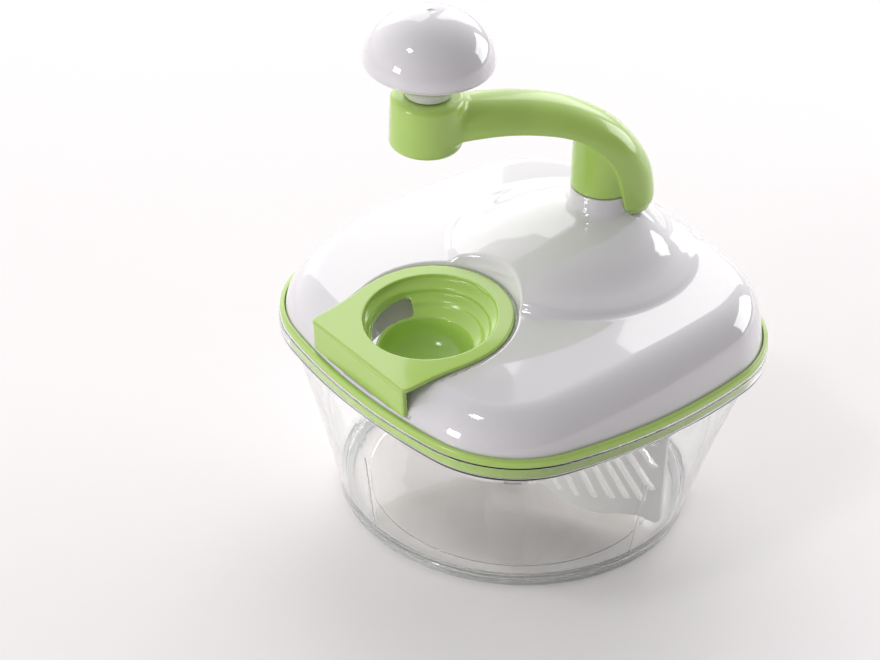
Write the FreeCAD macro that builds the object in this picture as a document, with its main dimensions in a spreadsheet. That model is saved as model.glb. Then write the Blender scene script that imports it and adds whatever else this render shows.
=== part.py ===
import FreeCAD, Part
import math
import os
from FreeCAD import Vector as V, Placement, Rotation

# Crank food chopper: a clear square-topped bowl, a white geared lid with an
# off-centre hand crank, a slotted rotating paddle and an egg separator that
# sits in the fill hole.  Millimetres, +Z up, origin at the centre of the
# bowl's foot, +X from the fill hole towards the crank.

doc = FreeCAD.newDocument("crank_food_chopper")
sheet = doc.addObject("Spreadsheet::Sheet", "Params")

CELLS = [
    # bowl
    ("base_rad", 75.0), ("foot_in_rad", 62.0), ("foot_recess", 1.0), ("floor_thk", 3.0),
    ("wall_thk", 2.2), ("rim_half", 90.9), ("rim_side_rad", 246.5), ("rim_corner_rad", 48.4),
    ("rim_top", 81.8), ("rim_low", 75.2), ("rim_channel", 76.6), ("neck_half", 87.6),
    ("rim_in_half", 88.7), ("rib_top", 47.0), ("rib_thk", 1.5), ("rib_proud", 1.5),
    # non-slip ring and pivot pin in the bowl
    ("ring_out", 73.6), ("ring_in", 69.6), ("foot_low", 0.5), ("ring_top", 1.9),
    ("pin_rad", 4.0), ("pin_len", 46.0), ("pin_boss_rad", 7.5), ("pin_boss_top", 8.0),
    # rotating tool
    ("sleeve_rad", 9.0), ("sleeve_low", 8.6), ("sleeve_top", 73.0), ("sleeve_bore", 4.06),
    ("socket_depth", 15.0), ("socket_flats", 9.5), ("collar_rad", 11.5),
    ("blade_reach", 69.6), ("blade_thk", 2.4), ("blade_low", 4.4), ("blade_top", 64.0),
    # drive in the lid
    ("gear_mod", 1.0), ("crank_teeth", 54.0), ("drive_teeth", 24.0), ("crank_x", 39.0),
    ("gear_low", 96.8), ("gear_face", 7.0), ("pinion_low", 96.2), ("pinion_face", 8.2),
    ("hex_flats", 9.0), ("hex_low", 59.5), ("hex_top", 89.4), ("journal_rad", 6.0),
    ("shaft_rad", 5.0), ("shaft_low", 97.0), ("shaft_top", 158.0),
    ("bush_bore", 5.05), ("bush_rad", 8.0), ("bush_low", 110.0), ("bush_top", 136.3),
    # lid
    ("lid_half", 88.5), ("lid_low", 84.0), ("crown_z", 112.0), ("crown_x", 35.0),
    ("lid_thk", 2.4), ("shoulder_rad", 12.0), ("neck_rad", 13.4), ("neck_top", 136.6),
    ("hole_x", -50.84), ("hole_z", 103.1), ("hole_rad", 33.0), ("hole_tilt", 6.1),
    ("chute_rad", 22.7), ("chute_low", 77.8),
    ("plate_low", 92.0), ("plate_thk", 2.5), ("plate_x", 27.0), ("plate_rad", 43.8),
    ("screw_rad", 1.5), ("screw_head_rad", 3.0),
    # green band
    ("band_half", 90.6), ("band_low", 82.1), ("band_top", 85.6), ("skirt_half", 88.4),
    ("skirt_thk", 2.4), ("skirt_low", 77.2),
    # crank arm and knob
    ("arm_len", 77.0), ("arm_angle", 156.1), ("hub_rad", 13.3), ("hub_low", 137.1),
    ("boss_rad", 15.2), ("boss_low", 165.4), ("boss_top", 188.6), ("arm_wall", 2.3),
    ("axle_rad", 3.0), ("axle_head", 6.5), ("axle_top", 205.0), ("knob_bore", 3.06),
    ("knob_rad", 27.0), ("knob_low", 189.0), ("knob_wide_z", 204.5), ("knob_top", 226.8),
    ("knob_neck", 9.5), ("knob_wall", 2.5),
    # egg separator
    ("sep_rad", 34.6), ("sep_open", 27.4), ("sep_thk", 1.9), ("sep_gap", 0.35),
    ("tongue_half", 31.0), ("tongue_end", 37.9), ("tongue_drop", 12.0),
    ("cup_rad", 19.0), ("cup_x", -5.0), ("cup_y", -3.0), ("cup_low", 20.5), ("cup_wall", 1.6),
]
sheet.set("A1", "alias")
sheet.set("B1", "value")
P = {}
for row, (name, val) in enumerate(CELLS, start=2):
    sheet.set("A%d" % row, name)
    sheet.set("B%d" % row, "%g" % val)
    sheet.setAlias("B%d" % row, name)
    P[name] = val
doc.recompute()

NODES = []


def keep(obj, label):
    obj.Label = label
    NODES.append((label, obj))
    return obj


def bind(obj, **exprs):
    for prop, ex in exprs.items():
        obj.setExpression(prop.replace("__", "."), ex)
    return obj


def E(ex):
    """A formula in the sheet's aliases, as FreeCAD text and as a number."""
    out = []
    word = ""
    for ch in ex + " ":
        if ch.isalnum() or ch == "_" or (ch == "." and word and word[0].isdigit()):
            word += ch
        else:
            if word:
                out.append("Params." + word if word in P else word)
            word = ""
            out.append(ch)
    return "".join(out).strip()


def num(ex):
    total = 0.0
    # sums and differences of aliases, numbers and products
    term, sign, terms = "", 1, []
    for i, ch in enumerate(ex.replace(" ", "") + "+"):
        if ch in "+-" and term:
            terms.append((sign, term))
            term, sign = "", (1 if ch == "+" else -1)
        elif ch in "+-":
            sign = 1 if ch == "+" else -1
        else:
            term += ch
    for s, tm in terms:
        v = 1.0
        for f in tm.split("*"):
            q = f.split("/")
            x = P[q[0]] if q[0] in P else float(q[0])
            for dd in q[1:]:
                x /= P[dd] if dd in P else float(dd)
            v *= x
        total += s * v
    return total


def plane_of(body, role):
    for f in body.Origin.OriginFeatures:
        if f.Role == role:
            return f
    raise RuntimeError("no " + role)


def profile_sketch(body, name, pts, role="XZ_Plane"):
    """Closed polyline; every corner is pinned to the sheet by formulas."""
    sk = body.newObject("Sketcher::SketchObject", name)
    sk.AttachmentSupport = [(plane_of(body, role), "")]
    sk.MapMode = "FlatFace"
    xy = [(num(a), num(b)) for a, b in pts]
    n = len(xy)
    for i in range(n):
        a, b = xy[i], xy[(i + 1) % n]
        sk.addGeometry(Part.LineSegment(V(a[0], a[1], 0), V(b[0], b[1], 0)), False)
    import Sketcher
    for i in range(n):
        sk.addConstraint(Sketcher.Constraint("Coincident", i, 2, (i + 1) % n, 1))
    for i, (a, b) in enumerate(pts):
        k = sk.addConstraint(Sketcher.Constraint("DistanceX", -1, 1, i, 1, xy[i][0]))
        sk.setExpression("Constraints[%d]" % k, E(a))
        k = sk.addConstraint(Sketcher.Constraint("DistanceY", -1, 1, i, 1, xy[i][1]))
        sk.setExpression("Constraints[%d]" % k, E(b))
    return sk


def turned(label, pts, at=None):
    """A turned piece: a profile of (radius, height) turned about its own Z."""
    body = doc.addObject("PartDesign::Body", "Body_" + label)
    sk = profile_sketch(body, "Profile_" + label, pts)
    rev = body.newObject("PartDesign::Revolution", "Turn_" + label)
    rev.Profile = sk
    rev.ReferenceAxis = (sk, ["V_Axis"])
    rev.Angle = 360.0
    body.Tip = rev
    if at:
        body.setExpression("Placement.Base.x", E(at[0]))
        body.setExpression("Placement.Base.y", E(at[1]))
    return keep(body, label)


def cyl(name, rad, height, at=("0", "0", "0")):
    c = doc.addObject("Part::Cylinder", name)
    c.setExpression("Radius", E(rad))
    c.setExpression("Height", E(height))
    for k, ax in enumerate("xyz"):
        c.setExpression("Placement.Base." + ax, E(at[k]))
    return c


def feat(name, shape):
    f = doc.addObject("Part::Feature", name)
    f.Shape = shape
    return f


def cut(name, base, tool):
    c = doc.addObject("Part::Cut", name)
    c.Base = base
    c.Tool = tool
    return c


def fuse(name, objs):
    c = doc.addObject("Part::MultiFuse", name)
    c.Shapes = objs
    c.Refine = False
    return c


# ---------------------------------------------------------------- outlines
def rounded_square(half, side_rad, corner_rad, z):
    """Square outline with bowed sides: eight arcs, all tangent."""
    k = half - side_rad
    d = side_rad - corner_rad
    c = (2 * k + math.sqrt(4 * k * k - 8 * (k * k - d * d))) / 4.0
    a = math.atan2(c, c - k)
    edges = []
    for q in range(4):
        t = q * math.pi / 2

        def pt(cx, cy, rr, ang):
            x, y = cx + rr * math.cos(ang), cy + rr * math.sin(ang)
            return V(math.cos(t) * x - math.sin(t) * y, math.sin(t) * x + math.cos(t) * y, z)
        edges.append(Part.Arc(pt(k, 0, side_rad, -a), pt(k, 0, side_rad, 0), pt(k, 0, side_rad, a)).toShape())
        edges.append(Part.Arc(pt(c, c, corner_rad, a), pt(c, c, corner_rad, math.pi / 4),
                              pt(c, c, corner_rad, math.pi / 2 - a)).toShape())
    return Part.Wire(edges)


def rim_outline(half, z):
    off = P["rim_half"] - half
    return rounded_square(half, P["rim_side_rad"] - off, P["rim_corner_rad"] - off, z)


def near_round(rad, z):
    return rounded_square(rad, rad + 0.6, rad - 1.6, z)


def mid_outline(f, r0, half1, z):
    """Between the round foot (f = 0) and the square rim (f = 1)."""
    off = P["rim_half"] - half1
    s1, c1 = P["rim_side_rad"] - off, P["rim_corner_rad"] - off
    half = r0 + f * (half1 - r0)
    side = 1.0 / ((1 - f) / (r0 + 0.6) + f / s1)
    corner = (r0 - 1.6) + f * (c1 - r0 + 1.6)
    return rounded_square(half, side, corner, z)


def prism(wire, dz):
    return Part.Face(wire).extrude(V(0, 0, dz))


# ---------------------------------------------------------------- bowl
def bowl_loft(inset, z0, z1):
    zs = [z0, 20.0, 42.0, 60.0, z1]
    wires = []
    for z in zs:
        f = (z - 1.5) / (P["rim_low"] + 1.0 - 1.5)
        f = max(0.0, min(1.0, f))
        wires.append(mid_outline(f, P["base_rad"] - inset, P["neck_half"] - inset, z))
    return Part.makeLoft(wires, True, False)


outer = bowl_loft(0.0, 1.5, P["rim_low"] + 1.0)
foot = prism(near_round(P["base_rad"], P["foot_low"]), 1.5 - P["foot_low"])
rim = prism(rim_outline(P["rim_half"], P["rim_low"]), P["rim_top"] - P["rim_low"])
bowl_shape = outer.fuse([foot, rim])
rib = Part.Face(Part.makePolygon([V(70, 0, 0.9), V(P["base_rad"] + P["rib_proud"], 0, 0.9),
                                  V(82.6 + 0.5, 0, P["rib_top"]), V(80.0, 0, P["rib_top"]), V(70, 0, 0.9)]))
rib = rib.extrude(V(0, P["rib_thk"], 0))
rib.translate(V(0, -P["rib_thk"] / 2, 0))
ribs = []
for q in range(4):
    r = rib.copy()
    r.rotate(V(0, 0, 0), V(0, 0, 1), 90 * q)
    ribs.append(r)
bowl_shape = bowl_shape.fuse(ribs)
hollow = bowl_loft(P["wall_thk"], P["floor_thk"] + 2.5, P["rim_low"] + 1.0)
low = Part.makeLoft([near_round(P["base_rad"] - P["wall_thk"] - 3.2, P["floor_thk"]),
                     near_round(P["base_rad"] - P["wall_thk"] - 1.0, P["floor_thk"] + 0.7),
                     mid_outline((P["floor_thk"] + 2.5 - 1.5) / (P["rim_low"] - 0.5),
                                 P["base_rad"] - P["wall_thk"], P["neck_half"] - P["wall_thk"],
                                 P["floor_thk"] + 2.5)], True, True)
bowl_shape = bowl_shape.cut([hollow, low])
channel = prism(rim_outline(P["rim_in_half"], P["rim_channel"]), 10)
throat = prism(rim_outline(P["neck_half"] - P["wall_thk"], P["rim_low"] + 0.9), 10)
under = Part.makeCylinder(P["foot_in_rad"], P["foot_low"] + P["foot_recess"])
groove = Part.makeCylinder(P["ring_out"], P["ring_top"]).cut(Part.makeCylinder(P["ring_in"], P["ring_top"]))
bowl_shape = bowl_shape.cut([channel, throat, under, groove])
pin_boss = Part.makeCylinder(P["pin_boss_rad"], P["pin_boss_top"] - P["floor_thk"] + 1, V(0, 0, P["floor_thk"] - 1))
bowl_shape = bowl_shape.fuse(pin_boss)
bowl_shape = bowl_shape.cut(Part.makeCylinder(P["pin_rad"], 30, V(0, 0, 2.2)))
keep(feat("Bowl", bowl_shape), "bowl")

turned("foot_ring", [("ring_in", "0"), ("ring_out", "0"),
                     ("ring_out", "ring_top"), ("ring_in", "ring_top")])
turned("pivot_pin", [("0", "2.2"), ("pin_rad", "2.2"), ("pin_rad", "2.2+pin_len-1.5"),
                     ("pin_rad-1.5", "2.2+pin_len"), ("0", "2.2+pin_len")])

# ---------------------------------------------------------------- rotating tool
sleeve = turned("tool_sleeve", [
    ("sleeve_bore", "sleeve_low"), ("sleeve_rad", "sleeve_low"), ("sleeve_rad", "sleeve_top-1"),
    ("sleeve_rad-1", "sleeve_top"), ("6.5", "sleeve_top"), ("6.5", "sleeve_top-0.6"),
    ("5.6", "sleeve_top-1.5"), ("0", "sleeve_top-1.5"), ("0", "50"), ("sleeve_bore", "50")])
doc.recompute()
hexsk = sleeve.newObject("Sketcher::SketchObject", "SocketHex")
hexsk.AttachmentSupport = [(plane_of(sleeve, "XY_Plane"), "")]
hexsk.MapMode = "FlatFace"
hexsk.setExpression("AttachmentOffset.Base.z", E("sleeve_top"))
hr_ = P["socket_flats"] / math.sqrt(3)
hp = [V(hr_ * math.cos(math.radians(60 * i)), hr_ * math.sin(math.radians(60 * i)), 0) for i in range(6)]
import Sketcher
for i in range(6):
    hexsk.addGeometry(Part.LineSegment(hp[i], hp[(i + 1) % 6]), False)
for i in range(6):
    hexsk.addConstraint(Sketcher.Constraint("Coincident", i, 2, (i + 1) % 6, 1))
for i in range(6):
    k = hexsk.addConstraint(Sketcher.Constraint("DistanceX", -1, 1, i, 1, hp[i].x))
    hexsk.setExpression("Constraints[%d]" % k, "Params.socket_flats / sqrt(3) * cos(%d)" % (60 * i))
    k = hexsk.addConstraint(Sketcher.Constraint("DistanceY", -1, 1, i, 1, hp[i].y))
    hexsk.setExpression("Constraints[%d]" % k, "Params.socket_flats / sqrt(3) * sin(%d)" % (60 * i))
pk = sleeve.newObject("PartDesign::Pocket", "Socket")
pk.Profile = hexsk
pk.setExpression("Length", E("socket_depth"))
sleeve.Tip = pk


def bulged_blade():
    """Slotted blade: a curved wall from the sleeve out to the bowl wall."""
    reach, thk = P["blade_reach"], P["blade_thk"]
    r0 = P["sleeve_rad"] - 0.2
    # plan view: an arc bowed sideways, centre line from r0 to the reach
    bow = 8.0
    chord = reach - 2.0
    rad = (chord * chord / 4 + bow * bow) / (2 * bow)
    cx, cy = chord / 2 + 2.0, rad - bow
    big = Part.makeCylinder(rad + thk / 2, 80, V(cx, cy, 0))
    small = Part.makeCylinder(rad - thk / 2, 80, V(cx, cy, 0))
    wall = big.cut(small)
    z0, z1 = P["blade_low"], P["blade_top"]
    side = [V(r0, -40, 14), V(14, -40, 11.2), V(18, -40, 9.2), V(26, -40, z0 + 1.5), V(33.5, -40, z0 + 0.6),
            V(44, -40, z0 + 0.8), V(54, -40, z0 + 2.9), V(61.5, -40, z0 + 3.4), V(64.5, -40, z0 + 1.7),
            V(67.4, -40, z0 + 0.3), V(reach - 1.4, -40, z0), V(reach, -40, z0 + 1.2), V(reach, -40, z1 - 6), V(reach - 1.5, -40, z1 - 2), V(reach - 6, -40, z1),
            V(24, -40, z1), V(r0, -40, z1 - 14), V(r0, -40, 14)]
    blank = Part.Face(Part.makePolygon(side)).extrude(V(0, 50, 0))
    blade = wall.common(blank)
    slots = []
    ends = [(25.8, 10.2), (33.7, 10.5), (42.0, 12.6), (49.4, 14.4), (56.0, 15.6), (62.2, 15.5),
            (65.5, 21.5), (65.7, 33.0), (65.7, 44.5)]
    for xb, zb in ends:
        # slanted slots, tops leaning towards the hub, lower ends along the bottom edge
        zt = 57.5
        lean = -0.58 * (zt - zb)
        w = 1.8
        if xb + lean - w < 14.5:
            zt = zb + (xb - w - 14.5) / 0.58
            lean = -0.58 * (zt - zb)
        s = Part.Face(Part.makePolygon([V(xb - w, -40, zb + 1), V(xb, -40, zb), V(xb + w, -40, zb + 1),
                                        V(xb + w + lean, -40, zt - 1), V(xb + lean, -40, zt),
                                        V(xb - w + lean, -40, zt - 1), V(xb - w, -40, zb + 1)])).extrude(V(0, 50, 0))
        slots.append(s)
    blade = blade.cut(slots)
    band = Part.makeCylinder(P["collar_rad"], 12, V(0, 0, 16)).fuse(Part.makeCylinder(P["collar_rad"], 8, V(0, 0, 42)))
    blade = blade.fuse(band)
    blade = blade.cut(Part.makeCylinder(P["sleeve_rad"], 100))
    return blade


paddle = feat("Paddle", bulged_blade())
paddle.Placement = Placement(V(0, 0, 0), Rotation(V(0, 0, 1), -66.5))
keep(paddle, "paddle")


# ---------------------------------------------------------------- gears
def gear_outline(teeth, mod, thin, z=0.0):
    """Involute outline, 20 degree, flanks thinned for running clearance."""
    rp = teeth * mod / 2.0
    rb = rp * math.cos(math.radians(20))
    ra = rp + 0.95 * mod
    rf = rp - 1.25 * mod
    inv = lambda a: math.tan(a) - a
    half = math.pi / (2 * teeth) - thin / rp

    def ang(r):
        r = max(r, rb)
        a = math.acos(rb / r)
        return half + inv(math.radians(20)) - inv(a)
    rs = [max(rb, rf + 0.25 * mod) + (ra - max(rb, rf + 0.25 * mod)) * k / 4.0 for k in range(5)]
    pts = []
    for i in range(int(teeth)):
        m = 2 * math.pi * i / teeth
        root = math.pi / teeth
        pts.append((rf, m - root))
        pts.append((rf, m - ang(rs[0]) - 0.10 / rp))
        for r in rs:
            pts.append((r, m - ang(r)))
        for r in reversed(rs):
            pts.append((r, m + ang(r)))
        pts.append((rf, m + ang(rs[0]) + 0.10 / rp))
    vs = [V(r * math.cos(a), r * math.sin(a), z) for r, a in pts]
    return Part.Face(Part.makePolygon(vs + [vs[0]]))


def gear(label, teeth_cell, low_cell, face_cell, at, phase, extras, bores):
    """Toothed blank extruded by the sheet's face width, with hub and bores."""
    out = feat("Teeth_" + label, gear_outline(P[teeth_cell], P["gear_mod"], 0.10))
    ex = doc.addObject("Part::Extrusion", "Blank_" + label)
    ex.Base = out
    ex.DirMode = "Custom"
    ex.Dir = V(0, 0, 1)
    ex.Solid = True
    ex.setExpression("LengthFwd", E(face_cell))
    ex.Placement = Placement(V(0, 0, 0), Rotation(V(0, 0, 1), phase))
    ex.setExpression("Placement.Base.x", E(at))
    ex.setExpression("Placement.Base.z", E(low_cell))
    obj = ex
    if extras:
        obj = fuse("Hubbed_" + label, [ex] + extras)
    for i, b in enumerate(bores):
        obj = cut("%s_bored%d" % (label, i), obj, b)
    return obj


n1, n2 = P["crank_teeth"], P["drive_teeth"]
# the crank gear has a tooth pointing at the drive gear; the drive gear a gap
web = []
for i in range(6):
    a = math.radians(60 * i + 30)
    web.append(cyl("WebHole%d" % i, "4.5", "20",
                   ("crank_x+%g" % (16.5 * math.cos(a)), "%g" % (16.5 * math.sin(a)), "90")))
g1 = gear("crank_gear", "crank_teeth", "gear_low", "gear_face", "crank_x", 180.0,
          [cyl("CrankGearHub", "9", "gear_face+3", ("crank_x", "0", "gear_low"))],
          [cyl("CrankGearBore", "shaft_rad", "30", ("crank_x", "0", "gear_low-1"))] + web)
keep(g1, "crank_gear")
g2 = gear("drive_pinion", "drive_teeth", "pinion_low", "pinion_face", "0", 180.0 / n2,
          [cyl("PinionJournal", "journal_rad", "pinion_low-hex_top", ("0", "0", "hex_top")),
           cyl("PinionStub", "4", "5.5", ("0", "0", "pinion_low+pinion_face"))],
          [cyl("PinionSpigotHole", "3", "8", ("0", "0", "hex_top-0.5"))])
keep(g2, "drive_pinion")

# hex drive bar below the pinion, with a round spigot pressed up into it
hexw = [V(P["hex_flats"] / math.sqrt(3) * math.cos(math.radians(60 * i)),
          P["hex_flats"] / math.sqrt(3) * math.sin(math.radians(60 * i)), 0) for i in range(6)]
prism6 = doc.addObject("Part::Prism", "HexBar")
prism6.Polygon = 6
prism6.setExpression("Circumradius", "Params.hex_flats / sqrt(3)")
prism6.setExpression("Height", E("hex_top-hex_low"))
prism6.setExpression("Placement.Base.z", E("hex_low"))
point = doc.addObject("Part::Cone", "HexPoint")
point.setExpression("Radius1", E("hex_flats/2-1.2"))
point.setExpression("Radius2", E("hex_flats/2+32"))
point.setExpression("Height", "33.2 mm")
point.setExpression("Placement.Base.z", E("hex_low"))
hexbar = doc.addObject("Part::Common", "HexBarPointed")
hexbar.Base = prism6
hexbar.Tool = point
spig = cyl("HexSpigot", "3", "7", ("0", "0", "hex_top-0.1"))
keep(fuse("HexDrive", [hexbar, spig]), "hex_drive")

# crank shaft, its bush, washer and retaining screw
turned("crank_shaft", [("2", "shaft_low"), ("shaft_rad", "shaft_low"), ("shaft_rad", "shaft_top-1"),
                       ("shaft_rad-1", "shaft_top"), ("0", "shaft_top"), ("0", "shaft_low+14"),
                       ("2", "shaft_low+14")], at=("crank_x", "0"))
turned("crank_bush", [("bush_bore", "bush_low-1.5"), ("bush_rad+2.2", "bush_low-1.5"),
                      ("bush_rad+2.2", "bush_low"), ("bush_rad", "bush_low"),
                      ("bush_rad", "bush_top"), ("bush_bore", "bush_top")], at=("crank_x", "0"))
turned("gear_washer", [("2.1", "shaft_low-1.2"), ("7.5", "shaft_low-1.2"), ("7.5", "shaft_low-0.2"),
                       ("2.1", "shaft_low-0.2")], at=("crank_x", "0"))
turned("gear_screw", [("0", "shaft_low+13"), ("2", "shaft_low+12"), ("2", "shaft_low-1.2"),
                      ("4", "shaft_low-1.2"), ("4", "shaft_low-2.4"), ("3.2", "shaft_low-3.6"),
                      ("1", "shaft_low-3.6"), ("1", "shaft_low-2.6"), ("0", "shaft_low-2.6")],
       at=("crank_x", "0"))


# ---------------------------------------------------------------- lid
def lid_block(inset, low):
    """The lid without its dome: drafted square block under a crowned top."""
    half = P["lid_half"] - inset
    # the upper outline has straighter sides and tighter corners than the rim
    k = (low - P["lid_low"]) / 41.0
    low_out = rounded_square(half - 9.0 * k, 244.1 - inset + 75.9 * k, 46.0 - inset - 8.0 * k, low)
    block = Part.makeLoft([low_out, rounded_square(half - 9.0, 320.0 - inset, 38.0 - inset, 125.0)], True, True)
    # crown: two tangent arcs along X, carried along a long arc across Y
    zc = P["crown_z"] - inset
    r1, r2, r3 = 531.0 - inset, 900.0 - inset, 998.0
    xc = P["crown_x"]
    pl, pr = -110.0, 110.0
    zl = zc - r1 + math.sqrt(r1 * r1 - (pl - xc) ** 2)
    zr = zc - r2 + math.sqrt(r2 * r2 - (pr - xc) ** 2)
    ml, mr = (pl + xc) / 2, (pr + xc) / 2
    a1 = Part.Arc(V(pl, 0, zl), V(ml, 0, zc - r1 + math.sqrt(r1 * r1 - (ml - xc) ** 2)), V(xc, 0, zc)).toShape()
    a2 = Part.Arc(V(xc, 0, zc), V(mr, 0, zc - r2 + math.sqrt(r2 * r2 - (mr - xc) ** 2)), V(pr, 0, zr)).toShape()
    w = Part.Wire([a1, a2, Part.LineSegment(V(pr, 0, zr), V(pr, 0, 40)).toShape(),
                   Part.LineSegment(V(pr, 0, 40), V(pl, 0, 40)).toShape(),
                   Part.LineSegment(V(pl, 0, 40), V(pl, 0, zl)).toShape()])
    slab = Part.Face(w).revolve(V(0, 0, zc - r3), V(1, 0, 0), 14)
    slab.rotate(V(0, 0, zc - r3), V(1, 0, 0), -7)
    body = block.common(slab)
    # round the shoulder all the way round
    edges = [e for e in body.Edges if e.BoundBox.ZMin > 90.0 and not (
        abs(e.BoundBox.XMin - xc) < 0.05 and abs(e.BoundBox.XMax - xc) < 0.05)]
    edges = [e for e in edges if max(abs(e.BoundBox.XMax), abs(e.BoundBox.XMin),
                                     abs(e.BoundBox.YMax), abs(e.BoundBox.YMin)) > 55]
    rad = P["shoulder_rad"] - inset
    try:
        f = body.makeFillet(rad, edges)
        if f.isValid() and f.Volume > 0.9 * body.Volume:
            return f
        print("shoulder fillet not valid", inset)
    except Exception as err:
        print("shoulder fillet failed", inset, err)
    return body


DOME = [(26.0, 54.0, 98.0), (26.0, 53.7, 102.0), (26.0, 53.2, 106.0), (26.0, 52.2, 110.2),
        (26.0, 50.2, 112.0), (26.0, 47.2, 113.3), (26.0, 43.4, 114.8), (26.0, 40.2, 116.5),
        (26.2, 37.8, 118.4), (27.0, 35.0, 120.5), (28.9, 30.8, 122.7), (31.8, 25.2, 124.6),
        (35.4, 19.2, 126.2), (38.4, 15.1, 127.6), (39.0, 13.7, 129.6), (39.0, 13.4, 131.8),
        (39.0, 13.4, 134.0)]


def dome_loft(inset):
    wires = []
    for cx, r, z in DOME:
        wires.append(Part.Wire(Part.makeCircle(r - inset, V(cx, 0, z - inset * 0.75), V(0, 0, 1))))
    wires.append(Part.Wire(Part.makeCircle(P["neck_rad"] - inset, V(P["crank_x"], 0, P["neck_top"]), V(0, 0, 1))))
    return Part.makeLoft(wires, True, False)


tilt = Placement(V(P["hole_x"], 0, P["hole_z"]), Rotation(V(0, 1, 0), -P["hole_tilt"]))


def tilted(shape):
    s = shape.copy()
    s.Placement = tilt.multiply(s.Placement)
    return s


lid_out = lid_block(0.0, P["lid_low"])
lid_in = lid_block(P["lid_thk"], P["lid_low"] - 8)
dome_out = dome_loft(0.0)
dome_in = dome_loft(P["lid_thk"])
# chute: a tapered tube from the tilted rim down to a level mouth
zt = P["hole_z"] + 6
grow = (P["hole_rad"] - P["chute_rad"]) / (P["hole_z"] - P["chute_low"])


def chute(extra, zlow, zhigh):
    r = lambda z: P["chute_rad"] + grow * (z - P["chute_low"]) + extra
    return Part.makeCone(r(zlow), r(zhigh), zhigh - zlow, V(P["hole_x"], 0, zlow))


chute_out = chute(2.2, P["chute_low"], P["hole_z"] + 9)
below_rim = tilted(Part.makeBox(120, 120, 60, V(-60, -60, -60)))
lip = tilted(Part.makeCylinder(P["hole_rad"] + 2.3, 5.0, V(0, 0, -5.0)))
above_rim = tilted(Part.makeCone(P["sep_rad"] + 0.6, P["sep_rad"] + 0.6 + 14.4, 16, V(0, 0, 0)))
above_in = tilted(Part.makeCone(P["sep_rad"] + 2.4, P["sep_rad"] + 2.4 + 16.4, 18.0, V(0, 0, -2.0)))
chute_out = chute_out.common(below_rim)
lid_shell = lid_out.fuse(dome_out)
solid_out = lid_shell
lid_shell = lid_shell.cut(above_rim)
core = lid_in.fuse(dome_in).cut(above_in)
lid_shell = lid_shell.cut(core)
# seats that carry the gear plate and the shaft bearings
seats = []
plate_top = P["plate_low"] + P["plate_thk"]
for sx, sy in ((47.0, 34.6), (47.0, -34.6), (7.0, 34.6), (7.0, -34.6)):
    seats.append(Part.makeCylinder(4.2, 40, V(sx, sy, plate_top)))
seats.append(Part.makeCylinder(12.4, 30, V(P["crank_x"], 0, P["bush_low"])))
seats.append(Part.makeCylinder(7.5, 14, V(0, 0, P["pinion_low"] + P["pinion_face"] + 0.4)))
inner_limit = solid_out
seats = [s.common(inner_limit) for s in seats]
lid_shell = lid_shell.fuse(seats + [chute_out, lip.common(chute(2.4, 80, P["hole_z"] + 9))])
lid_shell = lid_shell.cut([
    chute(0.0, P["chute_low"] - 5, P["hole_z"] + 12),
    Part.makeCylinder(P["bush_rad"], 40, V(P["crank_x"], 0, P["bush_low"] - 1)),
    Part.makeCylinder(4.06, 6.2, V(0, 0, P["pinion_low"] + P["pinion_face"] - 0.2)),
])
for sx, sy in ((47.0, 34.6), (47.0, -34.6), (7.0, 34.6), (7.0, -34.6)):
    lid_shell = lid_shell.cut(Part.makeCylinder(P["screw_rad"], 9, V(sx, sy, plate_top - 1)))
# recess for the separator's tongue, down the front face of the lid
rec_half = P["tongue_half"] + 0.6
rec = tilted(Part.makeBox(30, 2 * rec_half, 30, V(-P["tongue_end"] + P["sep_thk"] + 0.4 - 30, -rec_half, -P["tongue_drop"] - 0.6)))
lid_shell = lid_shell.cut(rec)
backing = tilted(Part.makeBox(3.2, 2 * rec_half + 3, P["tongue_drop"] + 1.0,
                              V(-P["tongue_end"] + P["sep_thk"] + 0.4, -rec_half - 1.5, -P["tongue_drop"] - 1.0)))
backing = backing.cut(chute(0.0, P["chute_low"] - 5, P["hole_z"] + 12))
lid_shell = lid_shell.fuse(backing.common(lid_out))
ledge = tilted(Part.makeBox(4.8, 2 * rec_half + 1, 1.8,
                            V(-P["tongue_end"] - 1.6, -rec_half - 0.5, -P["tongue_drop"] - 2.4)))
lid_shell = lid_shell.fuse(ledge.common(lid_out))
# latch slot in the chute wall, on the dome side
slot = tilted(Part.makeBox(6.0, 12.6, 2.9, V(P["hole_rad"] - 3.2, -6.3, -4.8)))
lid_shell = lid_shell.cut(slot)
pocket = [(-45.0, -P["tongue_half"] - 0.6), (-24.0, -P["tongue_half"] - 1.2), (-8.0, -P["sep_rad"] - 0.5),
          (-8.0, P["sep_rad"] + 0.5), (-24.0, P["tongue_half"] + 1.2), (-45.0, P["tongue_half"] + 0.6)]
pocket = Part.Face(Part.makePolygon([V(x, y, 0) for x, y in pocket] + [V(pocket[0][0], pocket[0][1], 0)]))
lid_shell = lid_shell.cut(tilted(pocket.extrude(V(0, 0, 12))))
lid_feat = feat("LidCover", lid_shell)
keep(lid_feat, "lid_cover")

# green band: visible flange outside the lid, skirt inside the bowl rim
band = prism(rim_outline(P["band_half"], P["band_low"]), P["band_top"] - P["band_low"])
try:
    tops = [e for e in band.Edges if e.BoundBox.ZMin > P["band_top"] - 0.01]
    band = band.makeFillet(1.1, tops)
except Exception as err:
    print("band fillet", err)
band = band.cut(prism(rim_outline(P["lid_half"] + 0.1, P["lid_low"]), 5))
skirt = prism(rim_outline(P["skirt_half"], P["skirt_low"]), P["band_low"] + 0.5 - P["skirt_low"])
band = band.fuse(skirt)
band = band.cut(prism(rim_outline(P["skirt_half"] - P["skirt_thk"], P["skirt_low"] - 1), 12))
keep(feat("RimBand", band), "rim_band")

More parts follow.
